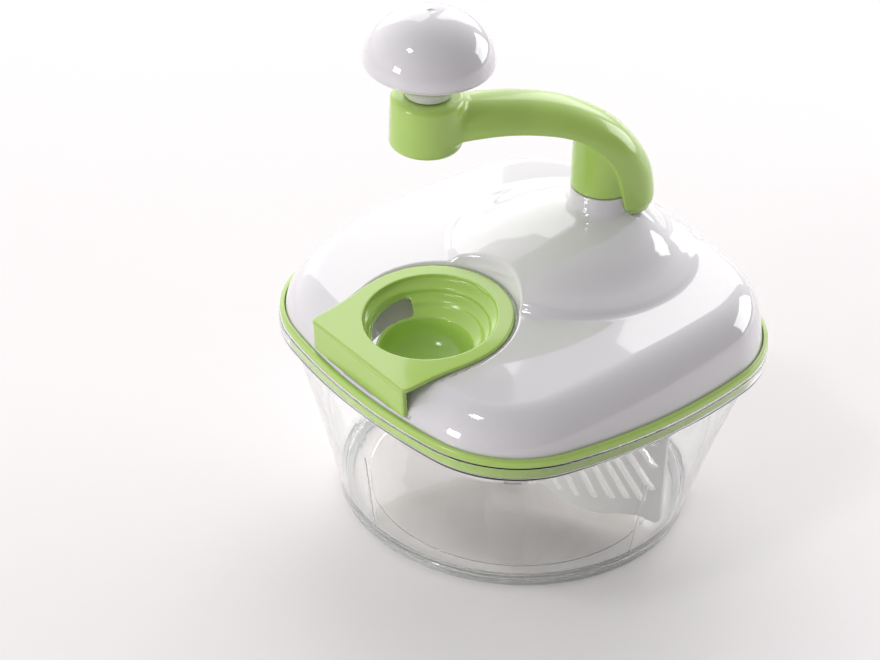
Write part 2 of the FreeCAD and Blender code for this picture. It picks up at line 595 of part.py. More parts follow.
# gear plate under the gears, held by four screws
plate = Part.makeCylinder(P["plate_rad"], P["plate_thk"], V(P["plate_x"], 0, P["plate_low"]))
plate = plate.cut(Part.makeCylinder(8.6, 10, V(P["crank_x"], 0, P["plate_low"] - 1)))
guard = Part.makeCylinder(10.6, 4.6, V(P["crank_x"], 0, P["plate_low"] - 2.1)).cut(
    Part.makeCylinder(8.6, 10, V(P["crank_x"], 0, P["plate_low"] - 0.6)))
collar = Part.makeCylinder(11.5, 5.1, V(0, 0, P["plate_low"] - 2.6))
plate = plate.fuse([guard, collar]).cut(Part.makeCylinder(8.0, 12, V(0, 0, P["plate_low"] - 4)))
for sx, sy in ((47.0, 34.6), (47.0, -34.6), (7.0, 34.6), (7.0, -34.6)):
    plate = plate.cut(Part.makeCylinder(1.7, 12, V(sx, sy, P["plate_low"] - 2)))
keep(feat("GearPlate", plate), "gear_plate")
turned("pinion_bush", [("journal_rad+0.06", "plate_low-2.6"), ("8", "plate_low-2.6"),
                       ("8", "plate_low+plate_thk"), ("10.5", "plate_low+plate_thk"),
                       ("10.5", "plate_low+plate_thk+1.2"), ("journal_rad+0.06", "plate_low+plate_thk+1.2")])
screws = []
for sx, sy in ((47.0, 34.6), (47.0, -34.6), (7.0, 34.6), (7.0, -34.6)):
    s = Part.makeCylinder(P["screw_rad"], 10.0, V(sx, sy, P["plate_low"] - 0.2))
    h = Part.makeCylinder(P["screw_head_rad"], 1.8, V(sx, sy, P["plate_low"] - 2.0))
    s = s.fuse(h).cut([Part.makeBox(4, 0.8, 1.2, V(sx - 2, sy - 0.4, P["plate_low"] - 2.1)),
                       Part.makeBox(0.8, 4, 1.2, V(sx - 0.4, sy - 2, P["plate_low"] - 2.1))])
    screws.append(s)
keep(feat("PlateScrews", Part.makeCompound(screws)), "plate_screws")

# ---------------------------------------------------------------- crank arm
# local frame: x from the hub towards the knob, z up
ARM = [  # lower edge (x, z), crown (x, z), half width
    (72.0, 171.4, 72.0, 184.4, 12.3), (64.0, 171.6, 64.0, 185.1, 12.5),
    (57.5, 172.2, 57.2, 185.4, 12.8), (49.5, 172.6, 48.5, 185.1, 13.0),
    (41.0, 172.3, 39.2, 184.3, 13.2), (32.6, 171.3, 29.0, 182.6, 13.4),
    (24.1, 169.6, 18.5, 179.7, 13.6), (17.6, 167.4, 9.8, 175.9, 13.8),
    (11.2, 164.1, 1.2, 171.2, 14.0), (6.3, 159.9, -5.9, 165.9, 14.2),
    (1.8, 155.2, -12.0, 159.3, 14.3), (-1.2, 150.0, -16.6, 152.9, 14.3),
    (-3.3, 144.4, -19.8, 146.3, 14.3), (-4.7, 138.6, -21.5, 139.7, 14.2),
    (-5.8, 134.0, -22.2, 134.2, 13.9), (-7.6, 131.4, -22.0, 131.4, 13.1),
    (-10.0, 130.2, -20.4, 130.2, 11.3)]


def arch(st, dw, dcrown, dlow):
    xl, zl, xu, zu, w = st
    ux, uz = xu - xl, zu - zl
    ln = math.hypot(ux, uz)
    ux, uz = ux / ln, uz / ln
    xl, zl = xl - ux * dlow, zl - uz * dlow
    b = ln + dlow - dcrown
    w = w - dw
    pts = []
    n = 14
    for k in range(n + 1):
        a = math.pi * k / n
        c, s = math.cos(a), math.sin(a)
        yy = w * math.copysign(abs(c) ** (2 / 2.25), c)
        hh = b * abs(s) ** (2 / 2.25) if 0 < k < n else 0.0
        pts.append(V(xl + ux * hh, yy, zl + uz * hh))
    bs = Part.BSplineCurve()
    bs.interpolate(pts)
    return Part.Wire([bs.toShape(), Part.LineSegment(pts[-1], pts[0]).toShape()])


skin = Part.makeLoft([arch(s, 0, 0, 0) for s in ARM], True, False)
inner = Part.makeLoft([arch(s, P["arm_wall"], P["arm_wall"], 3.0) for s in ARM[1:14]], True, False)
boss = Part.makeCylinder(P["boss_rad"], P["boss_top"] - P["boss_low"], V(P["arm_len"], 0, P["boss_low"]))
try:
    boss = boss.makeFillet(2.6, [e for e in boss.Edges if e.BoundBox.ZMin > P["boss_top"] - 0.01])
    boss = boss.makeFillet(1.6, [e for e in boss.Edges if e.BoundBox.ZMax < P["boss_low"] + 0.01])
except Exception as err:
    print("boss fillet", err)
# the hub fills the channel above it and shows below the channel's lower edge
below = [V(s[0] + 0.3, -20, s[1] + 0.3) for s in ARM[2:14]]
poly = [V(57.5, -20, 125)] + below + [V(-5.5, -20, 125), V(57.5, -20, 125)]
region = Part.Face(Part.makePolygon(poly)).extrude(V(0, 40, 0))
hub_bar = Part.makeCylinder(P["hub_rad"], 60, V(0, 0, P["hub_low"]))
low_skin = Part.makeLoft([arch(s, 0.25, 0.4, 1.0) for s in ARM], True, False)
hub = hub_bar.common(region).fuse(hub_bar.common(low_skin))
arm = skin.cut(inner).fuse([hub, boss])
arm = arm.cut([Part.makeCylinder(P["shaft_rad"], 60, V(0, 0, 130)).common(
                   Part.makeBox(40, 40, P["shaft_top"] - 130, V(-20, -20, 130))),
               Part.makeCylinder(P["neck_rad"] + 1.1, 20, V(0, 0, P["hub_low"] - 20)),
               Part.makeCylinder(P["axle_rad"], 60, V(P["arm_len"], 0, 150)),
               Part.makeCylinder(P["axle_head"], 4.0, V(P["arm_len"], 0, P["boss_low"] - 1.0))])
arm_feat = feat("CrankArm", arm)
arm_feat.Placement = Placement(V(P["crank_x"], 0, 0), Rotation(V(0, 0, 1), P["arm_angle"]))
keep(arm_feat, "crank_arm")
ka = math.radians(P["arm_angle"])
KX = P["crank_x"] + P["arm_len"] * math.cos(ka)
KY = P["arm_len"] * math.sin(ka)
KAT = ("crank_x+arm_len*%.9f" % math.cos(ka), "arm_len*%.9f" % math.sin(ka))

# knob axle pressed through the boss, with a washer that keeps the knob on
turned("knob_axle", [("0", "boss_low+0.4"), ("axle_head-0.3", "boss_low+0.4"), ("axle_head-0.3", "boss_low+3"),
                     ("axle_rad", "boss_low+3"), ("axle_rad", "axle_top-0.8"), ("axle_rad-0.8", "axle_top"),
                     ("0", "axle_top")], at=KAT)
turned("knob_keeper", [("axle_rad", "axle_top-3"), ("6.2", "axle_top-3"), ("6.2", "axle_top-1.6"),
                       ("axle_rad", "axle_top-1.6")], at=KAT)

# knob: a hollow dome over a flared neck
ks = []
for i in range(13):
    a = math.radians(90.0 * i / 12)
    ks.append(("knob_rad*%.6f" % math.cos(a),
               "knob_wide_z+knob_top*%.6f-knob_wide_z*%.6f" % (math.sin(a), math.sin(a))))
inside = []
for i in range(12, -1, -1):
    a = math.radians(90.0 * i / 12)
    inside.append(("knob_rad*%.6f-knob_wall*%.6f" % (math.cos(a), math.cos(a)),
                   "knob_wide_z+knob_top*%.6f-knob_wide_z*%.6f-knob_wall*%.6f" % (math.sin(a), math.sin(a), math.sin(a))))
ks[-1] = ("0", "knob_top")
inside[0] = ("0", "knob_top-knob_wall")
turned("knob_cap", ks + inside, at=KAT)
turned("knob_base", [
    ("knob_bore", "knob_low"), ("knob_neck", "knob_low"), ("knob_neck+0.1", "knob_low+2"),
    ("knob_neck+1.2", "knob_low+5"), ("knob_neck+3.6", "knob_low+8"), ("knob_neck+7.5", "knob_low+10.4"),
    ("knob_neck+12", "knob_low+12.0"), ("knob_neck+15.2", "knob_low+13.0"), ("knob_rad-1.2", "knob_low+13.8"),
    ("knob_rad-0.2", "knob_wide_z-0.6"), ("knob_rad", "knob_wide_z"), ("knob_rad-2.9", "knob_wide_z"),
    ("knob_rad-3.4", "knob_wide_z-1"), ("11", "knob_wide_z-3.2"), ("7", "axle_top-3.6"),
    ("knob_bore", "axle_top-3.6")], at=KAT)


# ---------------------------------------------------------------- egg separator
def ring_wire(cx, cy, r, z):
    return Part.Wire(Part.makeCircle(r, V(cx, cy, z), V(0, 0, 1)))


th, gap = P["sep_thk"], P["sep_gap"]
sr, te, tw = P["sep_rad"], P["tongue_end"], P["tongue_half"]
flat = Part.makeCylinder(sr, th, V(0, 0, gap))
tongue_pts = [(-te, -tw + 3), (-te + 3, -tw), (-24, -tw - 0.6), (-10, -sr + 1.2), (0, -sr), (0, sr),
              (-10, sr - 1.2), (-24, tw + 0.6), (-te + 3, tw), (-te, tw - 3)]
tw_face = Part.Face(Part.makePolygon([V(x, y, gap) for x, y in tongue_pts] + [V(tongue_pts[0][0], tongue_pts[0][1], gap)]))
flat = flat.fuse(tw_face.extrude(V(0, 0, th)))
skirt_s = Part.makeBox(th, 2 * tw - 3, P["tongue_drop"] + gap, V(-te, -tw + 1.5, -P["tongue_drop"]))
cupz = P["cup_low"]
cx, cy, cr, cw = P["cup_x"], P["cup_y"], P["cup_rad"], P["cup_wall"]
so = P["sep_open"]


def dish(e, zoff):
    return [ring_wire(0, 0, so + e, gap + th + (0.01 if e == 0 else 0)),
            ring_wire(0, 0, so - 0.8 + e, -1.0 - zoff),
            ring_wire(cx * 0.55, cy * 0.55, so - 4.2 + e, -5.0 - zoff),
            ring_wire(cx, cy, cr + e, -9.0 - zoff),
            ring_wire(cx, cy, cr - 1.5 + e, -14.5 - zoff),
            ring_wire(cx, cy, cr - 5.0 + e, -18.4 - zoff),
            ring_wire(cx, cy, cr - 10.5 + e, -cupz - zoff)]


dish_out = Part.makeLoft(dish(cw, cw * 0.8), True, True)
dish_in = Part.makeLoft(dish(0.0, 0.0), True, True)
sep = flat.fuse([skirt_s, dish_out]).cut(dish_in)
# crescent opening for the white, between the dish wall and the cup's rim
moon = Part.makeCylinder(so - 1.4, 30, V(0, 0, -9.6)).cut(Part.makeCylinder(cr + 1.2, 40, V(cx, cy, -20)))
wedge = Part.Face(Part.makePolygon([V(0, 0, -12), V(60 * math.cos(math.radians(62)), 60 * math.sin(math.radians(62)), -12),
                                    V(-60, 60, -12), V(60 * math.cos(math.radians(196)), 60 * math.sin(math.radians(196)), -12),
                                    V(0, 0, -12)])).extrude(V(0, 0, 20))
sep = sep.cut(moon.common(wedge))
tab = Part.makeBox(4.4, 10.4, 1.4, V(P["hole_rad"] - 4.4, -5.2, -4.4))
tab_web = Part.makeBox(3.2, 8.0, 5.4, V(so + 0.4, -4.0, -4.4))
sep = sep.fuse([tab, tab_web.common(Part.makeCylinder(P["hole_rad"] - 2.6, 20, V(0, 0, -10)))])
sep_feat = feat("EggSeparator", sep)
sep_feat.Placement = tilt
keep(sep_feat, "egg_separator")

# ---------------------------------------------------------------- check and write
doc.recompute()
bad = []
for o in doc.Objects:
    if any(s in ("Invalid", "Error") for s in o.State):
        bad.append("%s %s" % (o.Name, o.State))
for label, o in NODES:
    s = o.Shape
    if s.isNull() or not s.isValid() or s.Volume <= 0 or not s.Solids:
        bad.append("%s shape null=%s valid=%s" % (label, s.isNull(), (not s.isNull()) and s.isValid()))
    if len(s.Solids) != (4 if label == "plate_screws" else 1):
        bad.append("%s has %d solids" % (label, len(s.Solids)))
        for q in s.Solids:
            print("  solid", round(q.Volume, 2), q.BoundBox)
if bad:
    for b in bad:
        print("BAD", b)
    raise SystemExit("part not written: " + "; ".join(bad))
os.makedirs("parts", exist_ok=True)
for label, o in NODES:
    o.Shape.exportStep("parts/%s.step" % label)
    bb = o.Shape.BoundBox
    print("%-16s vol %9.1f  box %7.1f %7.1f %7.1f  %7.1f %7.1f %7.1f" % (
        label, o.Shape.Volume, bb.XMin, bb.YMin, bb.ZMin, bb.XMax, bb.YMax, bb.ZMax))
print(len(NODES), "nodes")
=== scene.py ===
import math
import bpy
import numpy as np
from mathutils import Matrix


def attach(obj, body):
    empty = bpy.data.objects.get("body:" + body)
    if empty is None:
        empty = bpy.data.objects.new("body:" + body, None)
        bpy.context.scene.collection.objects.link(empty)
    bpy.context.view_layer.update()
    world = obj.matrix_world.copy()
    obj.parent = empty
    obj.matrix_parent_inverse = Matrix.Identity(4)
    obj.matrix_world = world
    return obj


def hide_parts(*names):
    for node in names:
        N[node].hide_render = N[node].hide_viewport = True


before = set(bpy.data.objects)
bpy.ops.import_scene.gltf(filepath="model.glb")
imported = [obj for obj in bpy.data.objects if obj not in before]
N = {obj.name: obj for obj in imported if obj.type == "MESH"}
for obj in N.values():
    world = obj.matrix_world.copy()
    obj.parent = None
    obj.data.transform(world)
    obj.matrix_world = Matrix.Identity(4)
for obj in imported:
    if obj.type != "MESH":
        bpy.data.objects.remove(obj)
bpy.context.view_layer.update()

FINE = 1.0

# =====================================================================
# Shape toolkit.  Moulded shells are described by distance functions in
# millimetres, meshed with surface nets and settled onto the surface, so
# every blend and rounded edge is real geometry with smooth normals.
# =====================================================================


def rsq(x, y, half, side, corner):
    """Distance to the square outline with bowed sides (tangent arcs)."""
    x, y = np.abs(x), np.abs(y)
    x, y = np.maximum(x, y), np.minimum(x, y)
    k, d = half - side, side - corner
    c = (2 * k + math.sqrt(4 * k * k - 8 * (k * k - d * d))) / 4.0
    a = math.atan2(c, c - k)
    ds = np.hypot(x - k, y) - side
    dc = np.hypot(x - c, y - c) - corner
    return np.where(np.arctan2(y, x - k) < a, ds, dc)


def fmax(a, b, r):
    """Intersection with a rounded edge of radius r."""
    u, v = np.maximum(a + r, 0), np.maximum(b + r, 0)
    return np.minimum(-r, np.maximum(a, b)) + np.hypot(u, v)


def fmin(a, b, r):
    """Union with a concave fillet of radius r."""
    return -fmax(-a, -b, r)


def smin(a, b, k):
    h = np.clip(0.5 + 0.5 * (b - a) / k, 0, 1)
    return b * (1 - h) + a * h - k * h * (1 - h)


def rbox(x, y, z, cx, cy, cz, hx, hy, hz, r):
    qx, qy, qz = np.abs(x - cx) - hx + r, np.abs(y - cy) - hy + r, np.abs(z - cz) - hz + r
    out = np.sqrt(np.maximum(qx, 0) ** 2 + np.maximum(qy, 0) ** 2 + np.maximum(qz, 0) ** 2)
    return out + np.minimum(np.maximum(qx, np.maximum(qy, qz)), 0) - r


def smooth_table(ts, vs):
    """Dense cubic resampling of a table, for np.interp."""
    ts, vs = np.asarray(ts, float), np.asarray(vs, float)
    m = np.zeros_like(vs)
    d = np.diff(vs) / np.diff(ts)
    m[1:-1] = (d[:-1] * np.diff(ts)[1:] + d[1:] * np.diff(ts)[:-1]) / (ts[2:] - ts[:-2])
    m[0], m[-1] = d[0], d[-1]
    T = np.linspace(ts[0], ts[-1], 700)
    i = np.clip(np.searchsorted(ts, T) - 1, 0, len(ts) - 2)
    h = ts[i + 1] - ts[i]
    u = (T - ts[i]) / h
    V = ((1 + 2 * u) * (1 - u) ** 2 * vs[i] + u * (1 - u) ** 2 * h * m[i]
         + u * u * (3 - 2 * u) * vs[i + 1] + u * u * (u - 1) * h * m[i + 1])
    return T, V


CORN = [(0, 0, 0), (1, 0, 0), (0, 1, 0), (1, 1, 0), (0, 0, 1), (1, 0, 1), (0, 1, 1), (1, 1, 1)]
EDGES = [(0, 1), (2, 3), (4, 5), (6, 7), (0, 2), (1, 3), (4, 6), (5, 7), (0, 4), (1, 5), (2, 6), (3, 7)]


def gradient(F, p, e):
    g = np.empty_like(p)
    for a in range(3):
        q = p.copy()
        q[:, a] += e
        f1 = F(q[:, 0], q[:, 1], q[:, 2])
        q[:, a] -= 2 * e
        g[:, a] = (f1 - F(q[:, 0], q[:, 1], q[:, 2])) / (2 * e)
    return g


def net(F, lo, hi, h, settle=4, relax=2, eps=0.12):
    """Surface net of F = 0, vertices moved onto the surface; returns verts, quads, normals."""
    lo, hi = np.asarray(lo, float), np.asarray(hi, float)
    n = np.ceil((hi - lo) / h).astype(int) + 1
    ax = [lo[a] + h * np.arange(n[a]) for a in range(3)]
    V = np.empty(n, np.float32)
    X, Y = np.meshgrid(ax[0], ax[1], indexing="ij")
    for k in range(n[2]):
        V[:, :, k] = F(X.ravel(), Y.ravel(), np.full(X.size, ax[2][k])).reshape(X.shape)
    I = V < 0
    c = [I[o[0]:n[0] - 1 + o[0], o[1]:n[1] - 1 + o[1], o[2]:n[2] - 1 + o[2]] for o in CORN]
    anyin, allin = c[0].copy(), c[0].copy()
    for q in c[1:]:
        anyin |= q
        allin &= q
    act = anyin & ~allin
    idx = np.argwhere(act)
    ident = -np.ones(act.shape, np.int64)
    ident[act] = np.arange(len(idx))
    tot, cnt = np.zeros((len(idx), 3)), np.zeros(len(idx))
    val = [V[idx[:, 0] + o[0], idx[:, 1] + o[1], idx[:, 2] + o[2]].astype(float) for o in CORN]
    for a, b in EDGES:
        cross = (val[a] < 0) != (val[b] < 0)
        den = val[a] - val[b]
        t = np.where(cross, val[a] / np.where(np.abs(den) < 1e-12, 1, den), 0.0)
        oa, ob = np.array(CORN[a], float), np.array(CORN[b], float)
        pt = oa + t[:, None] * (ob - oa)
        tot[cross] += pt[cross]
        cnt[cross] += 1
    verts = lo + h * (idx + tot / cnt[:, None])
    quads = []
    for a in range(3):
        b, d = (a + 1) % 3, (a + 2) % 3
        s0 = [slice(None)] * 3
        s1 = [slice(None)] * 3
        s0[a], s1[a] = slice(0, n[a] - 1), slice(1, n[a])
        diff = I[tuple(s0)] != I[tuple(s1)]
        e = np.argwhere(diff)
        e = e[(e[:, b] > 0) & (e[:, b] < n[b] - 1) & (e[:, d] > 0) & (e[:, d] < n[d] - 1)]
        start_in = I[e[:, 0], e[:, 1], e[:, 2]]
        cells = []
        for ob, od in ((-1, -1), (0, -1), (0, 0), (-1, 0)):
            q = e.copy()
            q[:, b] += ob
            q[:, d] += od
            cells.append(ident[q[:, 0], q[:, 1], q[:, 2]])
        q = np.stack(cells, 1)
        q[~start_in] = q[~start_in][:, ::-1]
        quads.append(q)
    quads = np.concatenate(quads)
    quads = quads[(quads >= 0).all(1)]

    def onto(v, times):
        for _ in range(times):
            g = gradient(F, v, eps)
            f = F(v[:, 0], v[:, 1], v[:, 2])
            st = -(f / np.maximum((g * g).sum(1), 0.05))[:, None] * g
            ln = np.linalg.norm(st, axis=1, keepdims=True)
            v = v + st * np.minimum(1.0, 0.5 * h / np.maximum(ln, 1e-9))
        return v
    verts = onto(verts, settle)
    for _ in range(relax):
        acc, k = np.zeros_like(verts), np.zeros(len(verts))
        for s in range(4):
            i, j = quads[:, s], quads[:, (s + 1) % 4]
            np.add.at(acc, i, verts[j])
            np.add.at(acc, j, verts[i])
            np.add.at(k, i, 1)
            np.add.at(k, j, 1)
        avg = acc / np.maximum(k, 1)[:, None]
        verts = onto(verts + 0.5 * (avg - verts), 2)
    g = gradient(F, verts, eps * 1.2)
    nrm = g / np.maximum(np.linalg.norm(g, axis=1, keepdims=True), 1e-9)
    return verts, quads, nrm


def mesh_object(name, verts, faces, normals=None, mm=True):
    """verts in millimetres in the row frame."""
    me = bpy.data.meshes.new(name)
    v = np.asarray(verts, float) * (0.001 if mm else 1.0)
    f = np.asarray(faces) if not isinstance(faces, list) else None
    if f is not None:
        k = f.shape[1]
        me.vertices.add(len(v))
        me.vertices.foreach_set("co", v.astype(np.float32).ravel())
        me.loops.add(f.size)
        me.loops.foreach_set("vertex_index", f.astype(np.int32).ravel())
        me.polygons.add(len(f))
        me.polygons.foreach_set("loop_start", np.arange(0, f.size, k, dtype=np.int32))
        me.update(calc_edges=True)
    else:
        me.from_pydata([tuple(p) for p in v], [], [list(q) for q in faces])
    me.validate()
    me.polygons.foreach_set("use_smooth", np.ones(len(me.polygons), bool))
    me.update()
    if normals is not None and len(normals) == len(me.vertices):
        me.normals_split_custom_set_from_vertices([tuple(q) for q in normals])
    o = bpy.data.objects.new(name, me)
    bpy.context.scene.collection.objects.link(o)
    return o


def finishup(o, body, slot, mats, *nodes):
    for m in (mats if isinstance(mats, (list, tuple)) else [mats]):
        o.data.materials.append(m)
    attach(o, body)
    if nodes:
        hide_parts(*nodes)
    return o


def grid_faces(nu, nv, wrap_u=True, wrap_v=False):
    u = np.arange(nu if wrap_u else nu - 1)
    v = np.arange(nv if wrap_v else nv - 1)
    U, W = np.meshgrid(u, v, indexing="ij")
    a = U * nv + W
    b = ((U + 1) % nu) * nv + W
    c = ((U + 1) % nu) * nv + (W + 1) % nv
    d = U * nv + (W + 1) % nv
    return np.stack([a.ravel(), b.ravel(), c.ravel(), d.ravel()], 1)


def arc(cx, cz, r, a0, a1, n=5):
    """Points on an arc of a profile, degrees."""
    return [(cx + r * math.cos(math.radians(a0 + (a1 - a0) * i / n)),
             cz + r * math.sin(math.radians(a0 + (a1 - a0) * i / n))) for i in range(n + 1)]


def spline(pts, per=6):
    """Catmull-Rom through profile points."""
    p = [np.array(q, float) for q in pts]
    p = [2 * p[0] - p[1]] + p + [2 * p[-1] - p[-2]]
    out = []
    for i in range(1, len(p) - 2):
        for k in range(per):
            t = k / per
            out.append(tuple(0.5 * ((2 * p[i]) + (-p[i - 1] + p[i + 1]) * t
                                    + (2 * p[i - 1] - 5 * p[i] + 4 * p[i + 1] - p[i + 2]) * t * t
                                    + (-p[i - 1] + 3 * p[i] - 3 * p[i + 1] + p[i + 2]) * t ** 3)))
    out.append(tuple(p[-2]))
    return out


def lathe(name, prof, cx, cy, n=128):
    """Closed turned piece; a profile that starts and ends on the axis gets poles."""
    prof = [q for i, q in enumerate(prof) if i == 0 or math.dist(q, prof[i - 1]) > 1e-4]
    a = np.arange(n) * 2 * math.pi / n
    P = np.array(prof)
    poles = P[0, 0] < 1e-6 and P[-1, 0] < 1e-6
    body = P[1:-1] if poles else P
    m = len(body)
    V = np.stack([cx + np.outer(np.cos(a), body[:, 0]), cy + np.outer(np.sin(a), body[:, 0]),
                  np.tile(body[:, 1], (n, 1))], -1).reshape(-1, 3)
    F = [list(q) for q in grid_faces(n, m, True, not poles)]
    if poles:
        V = np.vstack([V, [cx, cy, P[0, 1]], [cx, cy, P[-1, 1]]])
        k = n * m
        for i in range(n):
            F.append([k, ((i + 1) % n) * m, i * m])
            F.append([k + 1, i * m + m - 1, ((i + 1) % n) * m + m - 1])
    o = mesh_object(name, V, F)
    flip_if_inside_out(o)
    return o


def flip_if_inside_out(o):
    me = o.data
    me.calc_loop_triangles()
    co = np.empty(len(me.vertices) * 3)
    me.vertices.foreach_get("co", co)
    co = co.reshape(-1, 3)
    tri = np.empty(len(me.loop_triangles) * 3, np.int32)
    me.loop_triangles.foreach_get("vertices", tri)
    t = co[tri.reshape(-1, 3)]
    if np.einsum("ij,ij->i", t[:, 0], np.cross(t[:, 1], t[:, 2])).sum() < 0:
        me.flip_normals()


def sharpen(o, deg):
    """Smooth shading, with edges above this angle kept crisp."""
    import bmesh
    bm = bmesh.new()
    bm.from_mesh(o.data)
    for e in bm.edges:
        if len(e.link_faces) == 2:
            e.smooth = e.calc_face_angle(0) < math.radians(deg)
    bm.to_mesh(o.data)
    bm.free()
    w_ = o.modifiers.new("weighted", "WEIGHTED_NORMAL")
    w_.mode = "FACE_AREA"
    w_.weight = 50
    w_.keep_sharp = True


# =====================================================================
# Materials
# =====================================================================


def new_mat(name):
    m = bpy.data.materials.new(name)
    m.use_nodes = True
    nt = m.node_tree
    nt.nodes.clear()
    out = nt.nodes.new("ShaderNodeOutputMaterial")
    b = nt.nodes.new("ShaderNodeBsdfPrincipled")
    nt.links.new(b.outputs[0], out.inputs[0])
    co = nt.nodes.new("ShaderNodeTexCoord")
    return m, nt, b, co


def noise(nt, co, scale, detail=2.0, rough=0.5):
    n = nt.nodes.new("ShaderNodeTexNoise")
    n.inputs["Scale"].default_value = scale
    n.inputs["Detail"].default_value = detail
    n.inputs["Roughness"].default_value = rough
    nt.links.new(co.outputs["Object"], n.inputs["Vector"])
    return n


def ramp(nt, src, p0, c0, p1, c1):
    r = nt.nodes.new("ShaderNodeValToRGB")
    r.color_ramp.elements[0].position = p0
    r.color_ramp.elements[0].color = c0
    r.color_ramp.elements[1].position = p1
    r.color_ramp.elements[1].color = c1
    nt.links.new(src, r.inputs[0])
    return r


def bump(nt, b, src, strength, dist):
    k = nt.nodes.new("ShaderNodeBump")
    k.inputs["Strength"].default_value = strength
    k.inputs["Distance"].default_value = dist
    nt.links.new(src, k.inputs["Height"])
    nt.links.new(k.outputs[0], b.inputs["Normal"])
    return k


def plastic(name, base, dark, rough, rough_var=0.03, coat=0.0, sss=0.0, peel=0.02, grain=None):
    """Moulded plastic: faint long waves from the mould, slightly uneven gloss."""
    m, nt, b, co = new_mat(name)
    n1 = noise(nt, co, 14.0, 3.0)
    c = ramp(nt, n1.outputs["Fac"], 0.3, (*dark, 1), 0.7, (*base, 1))
    nt.links.new(c.outputs[0], b.inputs["Base Color"])
    n2 = noise(nt, co, 60.0, 4.0, 0.6)
    r = ramp(nt, n2.outputs["Fac"], 0.3, (rough - rough_var,) * 3 + (1,), 0.75, (rough + rough_var,) * 3 + (1,))
    nt.links.new(r.outputs[0], b.inputs["Roughness"])
    b.inputs["IOR"].default_value = 1.5
    b.inputs["Coat Weight"].default_value = coat
    b.inputs["Coat Roughness"].default_value = 0.02
    if sss:
        b.inputs["Subsurface Weight"].default_value = sss
        b.inputs["Subsurface Radius"].default_value = (1.0, 0.9, 0.8)
        b.inputs["Subsurface Scale"].default_value = 0.002
    n3 = noise(nt, co, 90.0 if grain is None else grain, 2.0)
    bump(nt, b, n3.outputs["Fac"], peel, 0.0006)
    return m


WHITE = plastic("white_gloss_plastic", (0.775, 0.75, 0.78), (0.76, 0.735, 0.765), 0.085, 0.015, coat=1.0, peel=0.012)
GREEN = plastic("green_gloss_plastic", (0.455, 0.665, 0.15), (0.44, 0.645, 0.14), 0.20, 0.03, coat=0.35, peel=0.025)
TOOL = plastic("white_tool_plastic", (0.78, 0.78, 0.77), (0.74, 0.74, 0.73), 0.34, 0.05, peel=0.05, grain=240.0)
GEAR = plastic("natural_gear_plastic", (0.74, 0.72, 0.64), (0.70, 0.68, 0.60), 0.42, 0.05, peel=0.06, grain=300.0)


def clear_plastic():
    m, nt, b, co = new_mat("clear_plastic")
    b.inputs["Base Color"].default_value = (0.985, 0.99, 0.99, 1)
    b.inputs["Transmission Weight"].default_value = 1.0
    b.inputs["IOR"].default_value = 1.46
    n1 = noise(nt, co, 25.0, 2.0)
    r = ramp(nt, n1.outputs["Fac"], 0.35, (0.004, 0.004, 0.004, 1), 0.75, (0.02, 0.02, 0.02, 1))
    nt.links.new(r.outputs[0], b.inputs["Roughness"])
    n2 = noise(nt, co, 16.0, 2.0)
    bump(nt, b, n2.outputs["Fac"], 0.04, 0.0012)
    # lamps shine through the thin clear walls
    lp = nt.nodes.new("ShaderNodeLightPath")
    tr = nt.nodes.new("ShaderNodeBsdfTransparent")
    tr.inputs["Color"].default_value = (0.88, 0.875, 0.865, 1)
    mx = nt.nodes.new("ShaderNodeMixShader")
    out = [n for n in nt.nodes if n.type == "OUTPUT_MATERIAL"][0]
    nt.links.new(lp.outputs["Is Shadow Ray"], mx.inputs[0])
    nt.links.new(b.outputs[0], mx.inputs[1])
    nt.links.new(tr.outputs[0], mx.inputs[2])
    nt.links.new(mx.outputs[0], out.inputs[0])
    return m


CLEAR = clear_plastic()


def rubber():
    m, nt, b, co = new_mat("clear_rubber")
    b.inputs["Base Color"].default_value = (0.80, 0.83, 0.83, 1)
    b.inputs["Transmission Weight"].default_value = 0.6
    b.inputs["IOR"].default_value = 1.41
    n1 = noise(nt, co, 300.0, 3.0)
    r = ramp(nt, n1.outputs["Fac"], 0.3, (0.3,) * 3 + (1,), 0.7, (0.45,) * 3 + (1,))
    nt.links.new(r.outputs[0], b.inputs["Roughness"])
    bump(nt, b, n1.outputs["Fac"], 0.1, 0.0003)
    return m


RUBBER = rubber()


def steel():
    m, nt, b, co = new_mat("turned_steel")
    b.inputs["Metallic"].default_value = 1.0
    mp = nt.nodes.new("ShaderNodeMapping")
    mp.inputs["Scale"].default_value = (1.0, 1.0, 60.0)
    nt.links.new(co.outputs["Object"], mp.inputs["Vector"])
    n1 = nt.nodes.new("ShaderNodeTexNoise")
    n1.inputs["Scale"].default_value = 40.0
    n1.inputs["Detail"].default_value = 4.0
    nt.links.new(mp.outputs[0], n1.inputs["Vector"])
    c = ramp(nt, n1.outputs["Fac"], 0.3, (0.50, 0.51, 0.52, 1), 0.7, (0.66, 0.66, 0.67, 1))
    nt.links.new(c.outputs[0], b.inputs["Base Color"])
    r = ramp(nt, n1.outputs["Fac"], 0.3, (0.2,) * 3 + (1,), 0.7, (0.34,) * 3 + (1,))
    nt.links.new(r.outputs[0], b.inputs["Roughness"])
    bump(nt, b, n1.outputs["Fac"], 0.05, 0.0002)
    return m


STEEL = steel()

